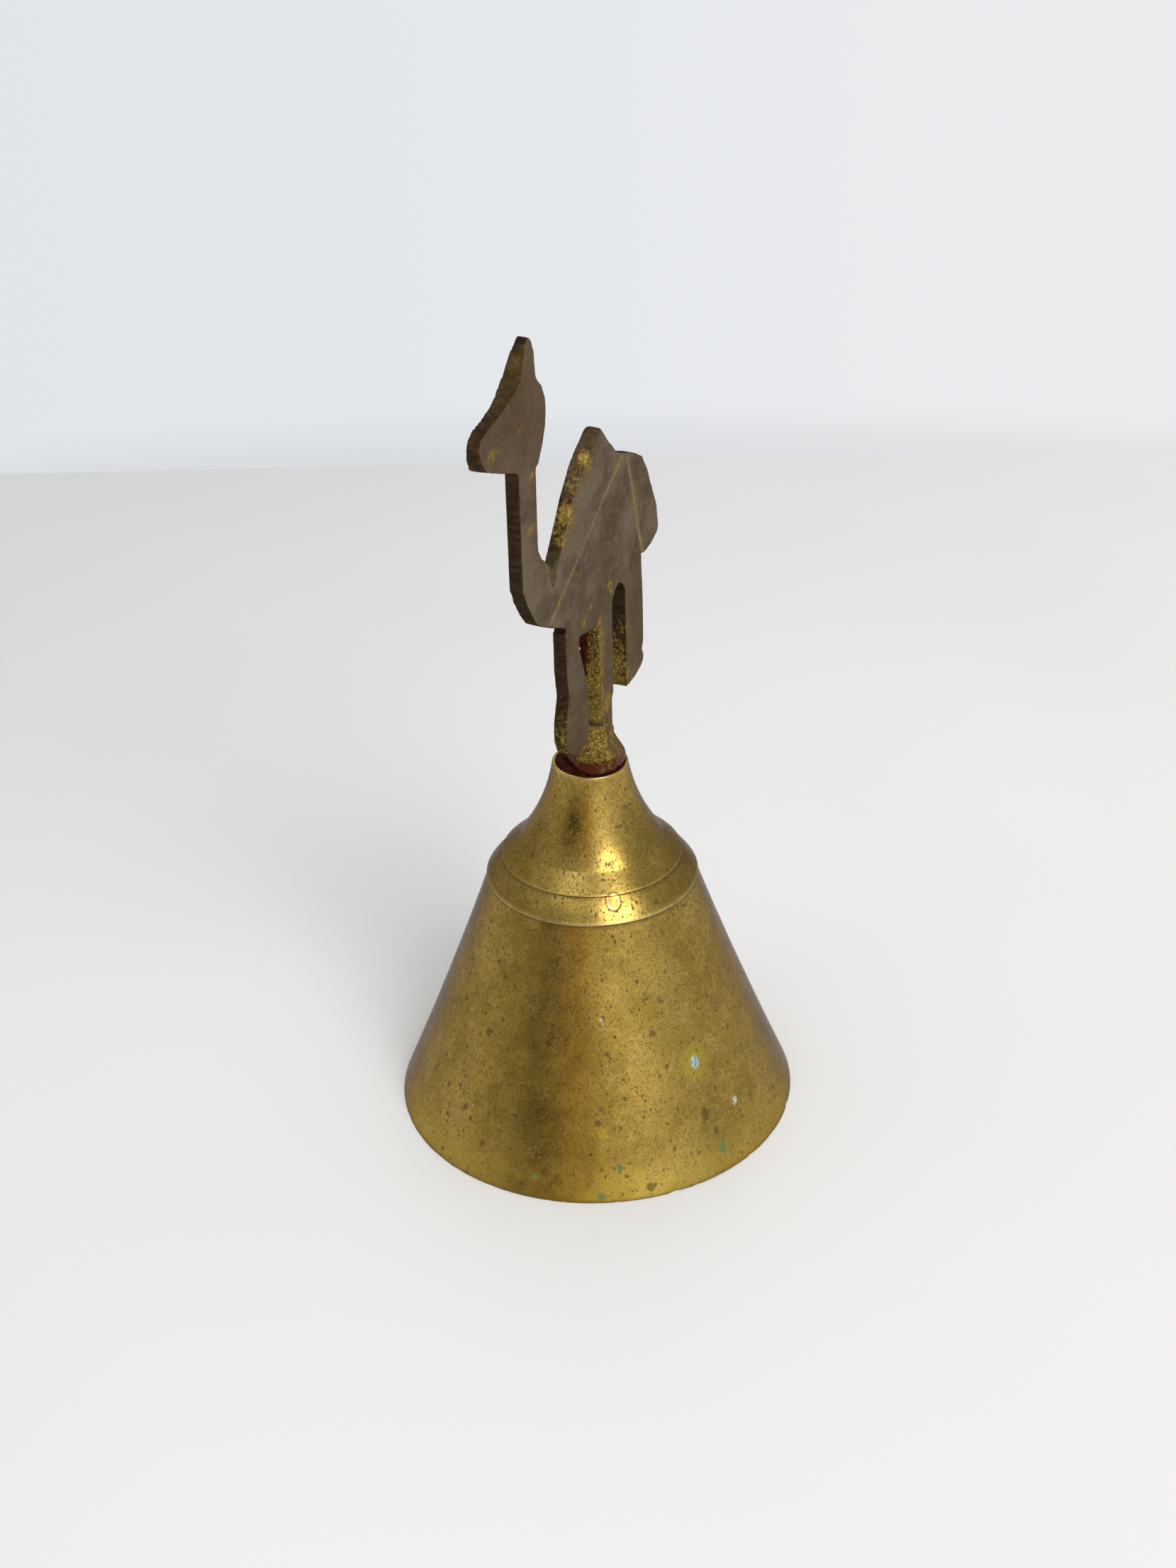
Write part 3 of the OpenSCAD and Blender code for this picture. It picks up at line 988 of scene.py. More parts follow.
def rounded_outline(corners: Sequence[tuple[float, float, float]],
                    closed: bool) -> list[tuple[float, float]]:
    """Rounds the corners of an outline.

    Args:
        corners: radius, height and rounding of each corner, in millimetres.
        closed: whether the last corner leads back to the first.

    Returns:
        Radius and height of each point.
    """
    count = len(corners)
    out: list[tuple[float, float]] = []
    for i, (r, z, soft) in enumerate(corners):
        at = Vector((r, z))
        if soft <= 0 or (not closed and i in (0, count - 1)):
            out.append((r, z))
            continue
        back = Vector(corners[i - 1][:2]) - at
        ahead = Vector(corners[(i + 1) % count][:2]) - at
        turn = math.pi - back.angle(ahead)
        room = CORNER_SHARE * min(back.length, ahead.length)
        reach = min(soft * math.tan(turn / 2), room)
        steps = max(3, math.ceil(math.degrees(turn) / CORNER_STEP))
        start, end = at + back.normalized() * reach, at + ahead.normalized() * reach
        for k in range(steps + 1):
            t = k / steps
            point = (1 - t) ** 2 * start + 2 * t * (1 - t) * at + t * t * end
            out.append((point.x, point.y))
    return out


def bowed(p: Sequence[float], q: Sequence[float], bulge: float, count: int,
          ) -> list[tuple[float, float, float]]:
    """Corners along a shallow bow from p to q.

    Args:
        p: start, as radius and height.
        q: end.
        bulge: how far it bows to the left of its way.
        count: how many steps.

    Returns:
        The corners, ends left out, with no rounding.
    """
    start, way = Vector(p[:2]), Vector(q[:2]) - Vector(p[:2])
    side = Vector((-way.y, way.x)).normalized()
    out = []
    for i in range(1, count):
        k = i / count
        point = start + way * k + side * (4 * bulge * k * (1 - k))
        out.append((point.x, point.y, 0.0))
    return out


def lathe(outline: Sequence[tuple[float, float]], steps: int, closed: bool) -> bmesh.types.BMesh:
    """Turns an outline about the z axis.

    Args:
        outline: radius and height of each point, in millimetres.
        steps: how many steps the full turn has.
        closed: whether the outline leads back to its start.

    Returns:
        The mesh, in metres.
    """
    bm = bmesh.new()
    ring = [bm.verts.new((r * MM, 0.0, z * MM)) for r, z in outline]
    edges = [bm.edges.new(pair) for pair in zip(ring, ring[1:])]
    if closed:
        edges.append(bm.edges.new((ring[-1], ring[0])))
    bmesh.ops.spin(bm, geom=ring + edges, cent=(0, 0, 0), axis=(0, 0, 1), dvec=(0, 0, 0),
                   angle=math.tau, steps=steps, use_merge=True, use_normal_flip=False,
                   use_duplicate=False)
    bmesh.ops.remove_doubles(bm, verts=bm.verts, dist=WELD)
    bmesh.ops.recalc_face_normals(bm, faces=bm.faces)
    return bm


def arc(centre: Vector, across: Vector, radius: float, start: float, sweep: float,
        steps: int) -> list[Vector]:
    """Points along an upright arc, both ends with it.

    Args:
        centre: its middle.
        across: the level direction in its plane.
        radius: its radius.
        start: where it starts, in degrees up from across.
        sweep: how far it goes, in degrees.
        steps: how many steps it has.

    Returns:
        The points.
    """
    turns = [math.radians(start + sweep * i / steps) for i in range(steps + 1)]
    return [centre + across * radius * math.cos(t) + UP * radius * math.sin(t) for t in turns]


def wire(name: str, route: Sequence[Vector], thick: float, closed: bool = False,
         ) -> bpy.types.Object:
    """A round wire along a route.

    Args:
        name: the piece's name.
        route: points in millimetres, close together.
        thick: the wire's diameter in millimetres.
        closed: whether the route is a ring.

    Returns:
        The piece.
    """
    data = bpy.data.curves.new(name, "CURVE")
    data.dimensions = "3D"
    data.bevel_depth = thick / 2 * MM
    data.bevel_resolution = 8
    data.use_fill_caps = True
    line = data.splines.new("POLY")
    line.points.add(len(route) - 1)
    for point, at in zip(line.points, route):
        point.co = (*(at * MM), 1.0)
    line.use_cyclic_u = closed
    draft = bpy.data.objects.new(name + "_draft", data)
    bpy.context.scene.collection.objects.link(draft)
    graph = bpy.context.evaluated_depsgraph_get()
    mesh = bpy.data.meshes.new_from_object(draft.evaluated_get(graph))
    bpy.data.objects.remove(draft)
    bpy.data.curves.remove(data)
    bm = bmesh.new()
    bm.from_mesh(mesh)
    bpy.data.meshes.remove(mesh)
    bmesh.ops.remove_doubles(bm, verts=bm.verts, dist=WELD)
    bmesh.ops.recalc_face_normals(bm, faces=bm.faces)
    for vert in bm.verts:  # a little of the hand that bent it
        vert.co += vert.normal * (0.02 * MM * noise.noise(vert.co / (1.6 * MM)))
    return to_object(bm, name, 50.0)


# ---------------------------------------------------------------- the bell's pieces


@dataclass
class Assembly:
    """Something that is built in pieces, each on a CAD body."""

    effects: Effects

    def dress(self, piece: bpy.types.Object, slot: Slot, body: str, node: str | None,
              *materials: bpy.types.Material) -> bpy.types.Object:
        """Gives a piece its materials, its body and the CAD node it stands for.

        Args:
            piece: the piece, in place.
            slot: the record's material slot; not used.
            body: the CAD body it rides on.
            node: the CAD node it replaces, if any.
            *materials: its materials in order.

        Returns:
            The piece.
        """
        piece.data.materials.clear()
        for material in materials:
            piece.data.materials.append(material)
        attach(piece, body)
        if node is not None:
            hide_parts(node)
        log.info("%s: %d points, %d faces, rides on %s", piece.name, len(piece.data.vertices),
                 len(piece.data.polygons), body)
        return piece


@dataclass
class BellCup(Assembly):
    """The turned cup, with the hole for its pin; sizes in millimetres."""

    band_z: float = 38.2
    band_h: float = 3.1
    band_low_r: float = 15.6
    band_draw: float = 2.6
    step: float = 0.25
    shoulder_h: float = 2.7
    shoulder_draw: float = 2.65
    neck_r: float = 5.45
    lip: float = 0.5
    wall: float = 0.9
    steps_round: int = 400
    pin_turn: float = -143.0
    pin_z: float = 40.8
    pin_r: float = 1.1
    nicks: int = 34

    @property
    def top_r(self) -> float:
        """The band's radius at its top."""
        return self.band_low_r - self.band_draw

    @property
    def shoulder_z(self) -> float:
        """The height of the shoulder over the band."""
        return self.band_z + self.band_h

    @property
    def pin_place(self) -> Matrix:
        """Turns and lifts a rod that stands at the origin to where the pin lies."""
        turn = Matrix.Rotation(math.radians(self.pin_turn), 4, "Z")
        lift = Matrix.Translation((0, 0, self.pin_z * MM))
        return lift @ turn @ Matrix.Rotation(math.pi / 2, 4, "Y")

    def outline(self) -> list[tuple[float, float]]:
        """The wall's closed section, up the outside and down the inside."""
        top_r, shoulder_z = self.top_r, self.shoulder_z
        flare = (top_r + self.step - self.shoulder_draw, shoulder_z + self.shoulder_h)
        low = (MOUTH_R, 0.0, 0.25)
        under = (self.band_low_r - self.step, self.band_z - self.step, 0.10)
        band = (self.band_low_r, self.band_z, 0.22)
        over = (top_r, shoulder_z, 0.10)
        brim = (top_r + self.step, shoulder_z + self.step, 0.22)
        mouth = (self.neck_r, NECK_TOP, 0.2)
        t = self.wall
        bore = (self.neck_r - self.lip, NECK_TOP, 0.12)
        in_flare = (flare[0] - t, flare[1] - t / 2)
        in_over = (top_r - t, shoulder_z - t / 2, 0.3)
        in_band = (self.band_low_r - self.step - t, self.band_z - t / 2, 0.3)
        in_low = (MOUTH_R - t, 0.0, 0.2)
        corners = [low, *bowed(low, under, 0.3, 64), under, band, *bowed(band, over, -0.12, 6),
                   over, brim, *bowed(brim, flare, 0.0, 10), (*flare, 0.7),
                   *bowed(flare, mouth, 0.8, 26), mouth, bore,
                   *bowed(bore, in_flare, -0.8, 16), (*in_flare, 0.6), in_over, in_band,
                   *bowed(in_band, in_low, -0.3, 40), in_low]
        return rounded_outline(corners, closed=True)

    def radius_at(self, height: float) -> float:
        """Outer radius at a height round the pin."""
        top_r, shoulder_z = self.top_r, self.shoulder_z
        heights = (self.band_z, shoulder_z, shoulder_z + self.step, shoulder_z + self.shoulder_h)
        radii = (self.band_low_r, top_r, top_r + self.step, top_r + self.step - self.shoulder_draw)
        return float(np.interp(height, heights, radii))

    def drill(self, cup: bpy.types.Object) -> None:
        """Cuts the pin's hole right through the cup."""
        bm = bmesh.new()
        bmesh.ops.create_cone(bm, cap_ends=True, segments=48, radius1=(self.pin_r + 0.02) * MM,
                              radius2=(self.pin_r + 0.02) * MM, depth=4 * self.band_low_r * MM)
        bmesh.ops.transform(bm, matrix=self.pin_place, verts=bm.verts)
        tool = to_object(bm, "drill")
        cut = cup.modifiers.new("hole", "BOOLEAN")
        cut.operation, cut.object, cut.solver = "DIFFERENCE", tool, "EXACT"
        settle(cup)
        cup.data.set_sharp_from_angle(angle=math.radians(SHARP))
        bpy.data.objects.remove(tool)

    def build(self) -> bpy.types.Object:
        """Builds and dresses the cup."""
        cup = to_object(lathe(self.outline(), self.steps_round, closed=True), "bell_cup_turned")
        points = points_of(cup)
        radius = np.hypot(points[:, 0], points[:, 1])
        turn = np.arctan2(points[:, 1], points[:, 0])
        # a hand-turned wall is a little out of true, and its rim is nicked
        out = 0.06 * np.cos(2 * turn + 0.7) * (1 - points[:, 2] / NECK_TOP)
        out += 0.05 * cloud(points, 14.0, 3.0) + 0.012 * cloud(points, 4.5, 9.0)
        nick = np.zeros(len(points))
        draws = np.random.default_rng(11)
        for at in draws.uniform(-math.pi, math.pi, self.nicks):
            width, depth = draws.uniform(0.4, 1.1), draws.uniform(0.02, 0.07)
            away = np.abs(np.angle(np.exp(1j * (turn - at)))) * radius
            nick += depth * fade(away, width)
        nick *= ease(-points[:, 2], -0.9, -0.1)
        outer = radius > MOUTH_R - 0.55 * self.wall
        out -= np.where(outer, nick, 0.0)
        scale = (radius + out) / radius
        points[:, 0] *= scale
        points[:, 1] *= scale
        points[:, 2] += np.where(points[:, 2] < 0.3, 0.6 * nick, 0.0)
        move_points(cup, points)
        self.drill(cup)
        self.mask(cup)
        outside = BellBrass("bell_brass_outside", coat=0.22)
        inside = BellBrass("bell_brass_inside", inside=True)
        self.dress(cup, Slot.BELL, "bell", "bell_cup", outside.material(self.effects),
                   inside.material(self.effects))
        self.part_inside(cup)
        return cup

    def mask(self, cup: bpy.types.Object) -> None:
        """Paints the rubbed edges, the painted shade mixed with dirt in the corners under the
        steps, and the darker rim edge and pin ring.
        """
        points = points_of(cup)
        radius, height = np.hypot(points[:, 0], points[:, 1]), points[:, 2]
        edge = np.zeros(len(points))
        dirt_and_shade = np.zeros(len(points))
        for r, z, width, high in ((self.band_low_r, self.band_z, 0.26, 0.9),
                                  (self.top_r + self.step, self.shoulder_z + self.step, 0.2, 0.6),
                                  (self.neck_r, NECK_TOP, 0.3, 0.7)):
            edge = np.maximum(edge, high * fade(np.hypot(radius - r, height - z), width))
        # painted shade, mixed with dirt, in the corners under the steps; darker along the rim's
        # very edge
        for r, z, width in ((self.band_low_r - self.step, self.band_z - self.step, 0.16),
                            (self.top_r, self.shoulder_z, 0.16), (MOUTH_R, 0.0, 0.42)):
            dirt_and_shade = np.maximum(dirt_and_shade, fade(np.hypot(radius - r, height - z), width))
        turn = math.radians(self.pin_turn)
        way = np.array([math.cos(turn), math.sin(turn)])
        aside = points[:, :2] @ np.array([-way[1], way[0]])
        ring = np.hypot(aside, height - self.pin_z)
        dirt_and_shade = np.maximum(dirt_and_shade, 0.8 * fade(ring - self.pin_r, 0.09))
        paint(cup, "edge", edge)
        paint(cup, "dirt_and_shade", dirt_and_shade)

    def part_inside(self, cup: bpy.types.Object) -> None:
        """Gives the inner faces the second material."""
        for face in cup.data.polygons:
            centre = face.center
            facing = face.normal.x * centre.x + face.normal.y * centre.y
            face.material_index = int(facing < 0)


@dataclass
class CrossPin(Assembly):
    """The brass pin that carries the clapper, filed flush with the cup's side."""

    cup: BellCup
    dome: float = 0.03
    rim: float = 0.07

    def build(self) -> bpy.types.Object:
        """Builds and dresses the pin."""
        rings = 10
        bm = bmesh.new()
        r, reach = self.cup.pin_r, self.cup.band_low_r
        bmesh.ops.create_cone(bm, cap_ends=True, cap_tris=False, segments=64, radius1=r * MM,
                              radius2=r * MM, depth=2 * reach * MM)
        caps = [f for f in bm.faces if abs(f.normal.z) > 0.9]
        for face in caps:
            for _ in range(rings):
                width = 1.02 * r / (rings + 1) * MM if _ else 0.05 * MM
                bmesh.ops.inset_region(bm, faces=[face], thickness=width, use_even_offset=True)
        for vert in bm.verts:
            across, up, along = vert.co.y / MM, -vert.co.x / MM, vert.co.z / MM
            side = self.cup.radius_at(self.cup.pin_z + up)
            flush = math.sqrt(side * side - across * across)
            away = math.hypot(across, up)
            drop = self.rim * max(0.0, (away - r + self.rim) / self.rim) ** 2
            vert.co.z = math.copysign(flush + self.dome - drop, along) * MM
        bmesh.ops.transform(bm, matrix=self.cup.pin_place, verts=bm.verts)
        bmesh.ops.recalc_face_normals(bm, faces=bm.faces)
        pin = to_object(bm, "cross_pin", 45.0)
        points = points_of(pin)
        way = math.radians(self.cup.pin_turn)
        across = points[:, 0] * -math.sin(way) + points[:, 1] * math.cos(way)
        away = np.hypot(across, points[:, 2] - self.cup.pin_z)
        outer = np.hypot(points[:, 0], points[:, 1]) > 10.0
        paint(pin, "edge", np.where(outer, 0.75 * ease(away, 0.4, 1.0), 0.1))
        finish = PlainBrass("pin_brass_filed", bright=(0.60, 0.385, 0.075), gloss=0.33, dirt_and_shade=0.4)
        return self.dress(pin, Slot.PIN, "bell", "clapper_pin", finish.material(self.effects))


@dataclass
class Clapper(Assembly):
    """The oblong link, the wire with its eye, and the drilled ball; sizes in millimetres."""

    cup: BellCup
    link_wire: float = 1.2
    link_r: float = 1.78
    link_l: float = 4.5
    link_gap: float = 0.05
    rod_wire: float = 1.3
    eye_r: float = 1.55
    eye_start: float = -66.0
    eye_sweep: float = 312.0
    eye_bend: float = 0.45
    ball_z: float = 8.8
    ball_r: float = 5.5
    flat: float = 5.45
    peen_r: float = 1.3
    dents: int = 26

    @property
    def ways(self) -> tuple[Vector, Vector]:
        """The directions along the pin and square to it."""
        turn = math.radians(self.cup.pin_turn)
        along = Vector((math.cos(turn), math.sin(turn), 0))
        return along, Vector((-along.y, along.x, 0))

    def link(self) -> bpy.types.Object:
        """The link, bent round from one wire whose ends meet on a straight side."""
        _, across = self.ways
        top = UP * self.cup.pin_z
        low = top - UP * self.link_l
        side = across * self.link_r
        half = self.link_l / 2 - self.link_gap
        route = [top + side - UP * half * (1 - i / 5) for i in range(5)]
        route += arc(top, across, self.link_r, 0, 180, 32)
        route += [top - side - UP * self.link_l * i / 9 for i in range(1, 9)]
        route += arc(low, across, self.link_r, 180, 180, 32)
        route += [low + side + UP * half * i / 5 for i in range(1, 6)]
        made = wire("hanger_link_bent", route, self.link_wire)
        paint(made, "edge", 0.35 * np.ones(len(made.data.vertices)))
        finish = PlainBrass("link_wire_brass", bright=(0.50, 0.32, 0.10), dull=(0.22, 0.13, 0.05))
        return self.dress(made, Slot.WIRE, "link", "hanger_link", finish.material(self.effects))

    def rod(self) -> bpy.types.Object:
        """The clapper's wire: a peened foot, a straight shank and an eye, all from one wire."""
        along, _ = self.ways
        low = self.cup.pin_z - self.link_l - self.link_r
        foot = self.ball_z - self.ball_r - 0.1
        route = [Vector((0, 0, z)) for z in np.linspace(foot, low - self.eye_r - 0.9, 24)]
        eye = arc(UP * low, along, self.eye_r, self.eye_start, self.eye_sweep, 48)
        start = math.radians(self.eye_start)
        first, last = eye[0], route[-1]
        tangent = -along * math.sin(start) + UP * math.cos(start)
        a, b = last + UP * self.eye_bend, first - tangent * self.eye_bend
        for t in (i / 7 for i in range(1, 7)):
            route.append((1 - t) ** 3 * last + 3 * t * (1 - t) ** 2 * a
                         + 3 * t * t * (1 - t) * b + t ** 3 * first)
        route += eye
        made = wire("clapper_wire_bent", route, self.rod_wire)
        bm = bmesh.new()
        bm.from_mesh(made.data)
        r = self.peen_r
        peen = [(0.0, foot - 0.5), (r - 0.45, foot - 0.5), (r - 0.12, foot - 0.3),
                (r, foot - 0.05), (r - 0.1, foot + 0.06), (0.0, foot + 0.06)]
        cap = lathe(peen, 40, closed=False)
        mesh = bpy.data.meshes.new("peen")
        cap.to_mesh(mesh)
        cap.free()
        bm.from_mesh(mesh)
        bpy.data.meshes.remove(mesh)
        bm.to_mesh(made.data)
        bm.free()
        made.data.shade_smooth()
        made.data.set_sharp_from_angle(angle=math.radians(50))
        points = points_of(made)
        worn = np.where(points[:, 2] > low - self.eye_r, 0.6, 0.15)
        worn = np.where(points[:, 2] < foot, 0.7, worn)
        paint(made, "edge", worn)
        finish = PlainBrass("clapper_wire_brass", bright=(0.48, 0.30, 0.09),
                            dull=(0.20, 0.12, 0.045))
        return self.dress(made, Slot.WIRE, "clapper", "clapper_wire",
                          finish.material(self.effects))

    def ball(self) -> bpy.types.Object:
        """The turned ball, drilled for its wire and dented where it strikes."""
        hole = self.rod_wire / 2 + 0.02
        start = math.asin(min(1.0, self.flat / self.ball_r))
        top = math.degrees(start)
        corners: list[tuple[float, float, float]] = [(hole, self.ball_z - self.flat, 0.1)]
        for i in range(45):
            tilt = math.radians(-top + 2 * top * i / 44)
            corners.append((self.ball_r * math.cos(tilt), self.ball_z
                            + self.ball_r * math.sin(tilt), 0.0))
        corners.append((hole, self.ball_z + self.flat, 0.1))
        made = to_object(lathe(rounded_outline(corners, closed=True), 128, closed=True),
                         "clapper_ball_turned", 45.0)
        points = points_of(made)
        centre = np.array([0.0, 0.0, self.ball_z])
        away = points - centre
        reach = np.linalg.norm(away, axis=1)
        facing = away / reach[:, None]
        draws = np.random.default_rng(5)
        dents = np.zeros(len(points))
        for _ in range(self.dents):
            turn, rise = draws.uniform(0, math.tau), draws.normal(0, 0.22)
            at = np.array([math.cos(turn) * math.cos(rise), math.sin(turn) * math.cos(rise),
                           math.sin(rise)])
            apart = np.linalg.norm(facing - at, axis=1) * self.ball_r
            dents += draws.uniform(0.02, 0.06) * fade(apart, draws.uniform(0.4, 0.9))
        outside = reach > self.ball_r - 0.2
        points -= facing * np.where(outside, dents, 0.0)[:, None]
        move_points(made, points)
        paint(made, "edge", np.where(outside, 0.3 + 5 * dents, 0.0))
        finish = PlainBrass("clapper_ball_brass", bright=(0.58, 0.39, 0.09),
                            dull=(0.27, 0.17, 0.05), gloss=0.3)
        return self.dress(made, Slot.WIRE, "clapper", "clapper_ball",
                          finish.material(self.effects))

    def build(self) -> None:
        """Builds the clapper's pieces."""
        self.link()
        self.rod()
        self.ball()


@dataclass(frozen=True)
class Rub:
    """A rubbed patch on the camel: its middle, reach and strength, and its stretch along z."""

    x: float
    y: float
    z: float
    reach: float
    strength: float = 1.0
    tall: float = 1.0


@dataclass(frozen=True)
class Smear:
    """A red smear of lac on the camel: the line it follows, its reach and its strength."""

    start: tuple[float, float, float]
    end: tuple[float, float, float]
    reach: float
    strength: float


@dataclass(frozen=True)
class Slope:
    """A filed slope: its line on the near face, the outline it runs out to, and how deep."""

    near: tuple[tuple[float, float], ...]
    far: tuple[tuple[float, float], ...]
    depth: float


@dataclass
class CamelHandle(Assembly):
    """The flat cast camel with its post, foot and tang; places in millimetres."""

    cell: float = 0.2
    near_y: float = -1.7
    post_x: float = 0.4
    post_near_x: float = 3.1
    post_high: float = 79.0
    foot_run: float = 1.4
    foot_way: tuple[float, float] = (-0.906, -0.423)
    hump_z: float = 105.5
    hump_lift: float = 0.5
    ankle_z: float = 62.4
    ankle_reach: float = 2.6
    ankle_r: float = 5.4
    ankle_rounds: int = 36
    front_leg_back_x: float = -2.9

    rubs = (
        Rub(-1.9, -1.2, 102.6, 1.2, 1.2, 1.5), Rub(-8.0, -0.9, 97.4, 1.2, 1.1, 2.4),
        Rub(-9.6, -1.0, 94.0, 1.0, 0.9, 1.6), Rub(-5.0, -0.6, 100.0, 2.4, 0.42, 1.4),
        Rub(-8.6, -0.4, 95.6, 2.6, 0.5, 1.5), Rub(-18.0, -0.6, 95.0, 1.3, 0.5, 4.0),
        Rub(-29.3, -1.7, 113.2, 1.3, 0.9, 0.8),
        Rub(-18.6, -1.7, 106.8, 1.6, 0.8, 0.5), Rub(-19.6, -1.7, 99.9, 1.4, 0.8, 0.5),
        Rub(-20.6, -1.2, 122.6, 0.7, 0.55, 1.6), Rub(-21.4, -1.7, 113.7, 0.55, 1.3, 0.9),
        Rub(4.3, -1.7, 82.0, 1.0, 0.9, 1.2),
        Rub(-4.6, -1.7, 80.6, 0.9, 0.8, 1.2), Rub(2.6, -1.7, 64.6, 1.3, 1.2, 1.2),
        Rub(7.2, -1.7, 85.2, 0.5, 0.7), Rub(-2.6, -1.7, 81.6, 0.9, 0.5, 0.8),
        Rub(9.8, 0.0, 66.0, 1.9, 0.85, 3.0), Rub(9.8, -1.0, 73.0, 0.9, 0.5, 2.2),
        Rub(-15.5, 0.5, 112.0, 1.2, 0.6, 1.5), Rub(6.0, 0.5, 92.0, 1.6, 0.6, 0.6),
        Rub(-20.0, 0.5, 98.0, 1.5, 0.7, 0.7), Rub(14.0, 0.5, 70.0, 1.4, 0.6, 1.2),
    )
    brow = Slope(
        ((-19.4, 124.6), (-19.3, 122.6), (-19.9, 121.0), (-20.6, 119.5), (-22.6, 118.45),
         (-25.0, 117.6), (-27.4, 117.0), (-29.9, 116.65), (-31.6, 116.1), (-32.45, 115.0),
         (-32.05, 113.4), (-30.9, 111.9)),
        ((-18.9, 124.0), (-20.3, 123.2), (-21.6, 122.1), (-22.6, 121.1), (-23.7, 120.0),
         (-24.9, 119.2), (-26.3, 118.3), (-28.1, 117.6), (-29.8, 117.1), (-31.5, 116.6),
         (-32.5, 115.8), (-33.0, 114.8), (-32.6, 113.0), (-31.5, 111.9)), 0.0)
    hump = Slope(
        ((2.0, 105.7), (1.0, 104.4), (-1.3, 103.2), (-3.7, 101.6), (-6.7, 99.2), (-9.8, 95.7),
         (-11.8, 91.5)),
        ((1.8, 105.4), (0.2, 105.1), (-1.2, 104.4), (-2.6, 103.4), (-4.0, 102.4), (-5.2, 100.9),
         (-6.8, 99.2), (-8.3, 97.1), (-9.5, 95.3), (-10.65, 93.9), (-11.6, 92.8)), 0.5)
    girth = ((8.95, 99.2), (-5.05, 90.6), (-14.6, 84.7))
    haunch = ((11.15, 98.3), (14.3, 87.4), (16.0, 82.2))
    smears = (Smear((-0.2, 0.5, 78.5), (0.2, 0.5, 72.0), 1.0, 0.9),
              Smear((-13.5, -1.7, 94.0), (-17.0, -1.7, 100.0), 1.2, 0.42))

    def lifted(self, z: float) -> float:
        """A height that follows the cup's neck."""
        return z + RAISED

    def placed(self, x: float, y: float, z: float) -> tuple[float, float, float]:
        """A place that follows the cup's neck."""
        return x, y, self.lifted(z)

    def at_ankle(self, at: Vector) -> bool:
        """Whether a place, in metres, is where the foot narrows into the post."""
        middle = Vector(self.placed(*FOOT, self.ankle_z)) * MM
        return (abs(at.z - middle.z) < self.ankle_reach * MM
                and (at - middle).to_2d().length < self.ankle_r * MM
                and at.x > self.front_leg_back_x * MM)

    def filed(self, points: np.ndarray, slope: Slope) -> tuple[np.ndarray, np.ndarray]:
        """Where the near side of the plate slopes back to its outline, as a file leaves it.

        Args:
            points: the camel's points.
            slope: the slope.

        Returns:
            How far down the slope each point lies, from 0 to 1, and the slope's y there.
        """
        near = np.array([(x, self.lifted(z)) for x, z in slope.near])
        far = np.array([(x, self.lifted(z)) for x, z in slope.far])
        flat = points[:, [0, 2]]
        gaps = np.array([min(np.linalg.norm(p - q) for q in resample(far)) for p in near])
        best = np.full(len(points), 1e9)
        outside = np.zeros(len(points))
        width = np.ones(len(points))
        for a, b, gap_a, gap_b in zip(near, near[1:], gaps, gaps[1:]):
            along = b - a
            share = np.clip((flat - a) @ along / (along @ along), 0.0, 1.0)
            away = flat - a - share[:, None] * along
            gap = np.linalg.norm(away, axis=1)
            over = (away @ np.array([along[1], -along[0]])) / np.linalg.norm(along)
            closer = gap < best
            best = np.where(closer, gap, best)
            outside = np.where(closer, over, outside)
            width = np.where(closer, gap_a + share * (gap_b - gap_a), width)
        share = np.where(best < 2.6, np.clip(outside / width, 0.0, 1.0), 0.0)
        return share, self.near_y + (slope.depth - self.near_y) * share

    def spread_foot(self, points: np.ndarray) -> np.ndarray:
        """Lets the foot run out to the cup's lip on its front side.

        Args:
            points: the camel's points.

        Returns:
            The points moved.
        """
        way = np.array(self.foot_way)
        away = points[:, :2] - np.array(FOOT)
        ahead = np.clip(away @ way / FOOT_R, 0.0, 1.0)
        share = 1 - ease(points[:, 2], NECK_TOP + 0.5, NECK_TOP + 4.5)
        share *= (np.linalg.norm(away, axis=1) < FOOT_R + 0.2) * (points[:, 2] > NECK_TOP - 0.05)
        moved = points.copy()
        moved[:, :2] += (self.foot_run * ahead ** 1.5 * share)[:, None] * way
        return moved

    def cast(self) -> bpy.types.Object:
        """The camel with its filed slopes, its spread foot and an even skin."""
        camel = to_object(joined_mesh("camel_handle"), "camel_handle_cast")
        remesh(camel, self.cell)
        points = points_of(camel)
        for slope in (self.brow, self.hump):
            share, depth = self.filed(points, slope)
            points[:, 1] = np.where((share > 0) & (points[:, 1] < depth), depth, points[:, 1])
        top = self.lifted(self.hump_z)
        points[:, 2] += self.hump_lift * fade(points[:, 0] - 1.5, 1.2) * ease(
            points[:, 2], top - 2.5, top - 0.3)
        move_points(camel, self.spread_foot(points))
        remesh(camel, self.cell)
        soften(camel, 2)
        soften(camel, self.ankle_rounds, self.at_ankle)
        return camel

    def sawn(self, points: np.ndarray, flat: np.ndarray) -> np.ndarray:
        """How far each point lies on a sawn or filed edge and not on a face.

        Args:
            points: the camel's points.
            flat: how squarely each faces along y.

        Returns:
            One value for each point.
        """
        side = 1 - ease(flat, 0.35, 0.8)
        side *= ease(points[:, 2], self.lifted(61.0), self.lifted(64.5)) + (points[:, 0] < -3.2)
        side = np.clip(side, 0.0, 1.0)
        for slope, dark in ((self.brow, 0.95), (self.hump, 0.72)):
            share, _ = self.filed(points, slope)
            near = ease(-points[:, 1], -0.6, 0.2) * ease(share, 0.03, 0.15)
            side = np.where(share > 0, np.maximum(dark * near, np.minimum(side, dark)), side)
        return side

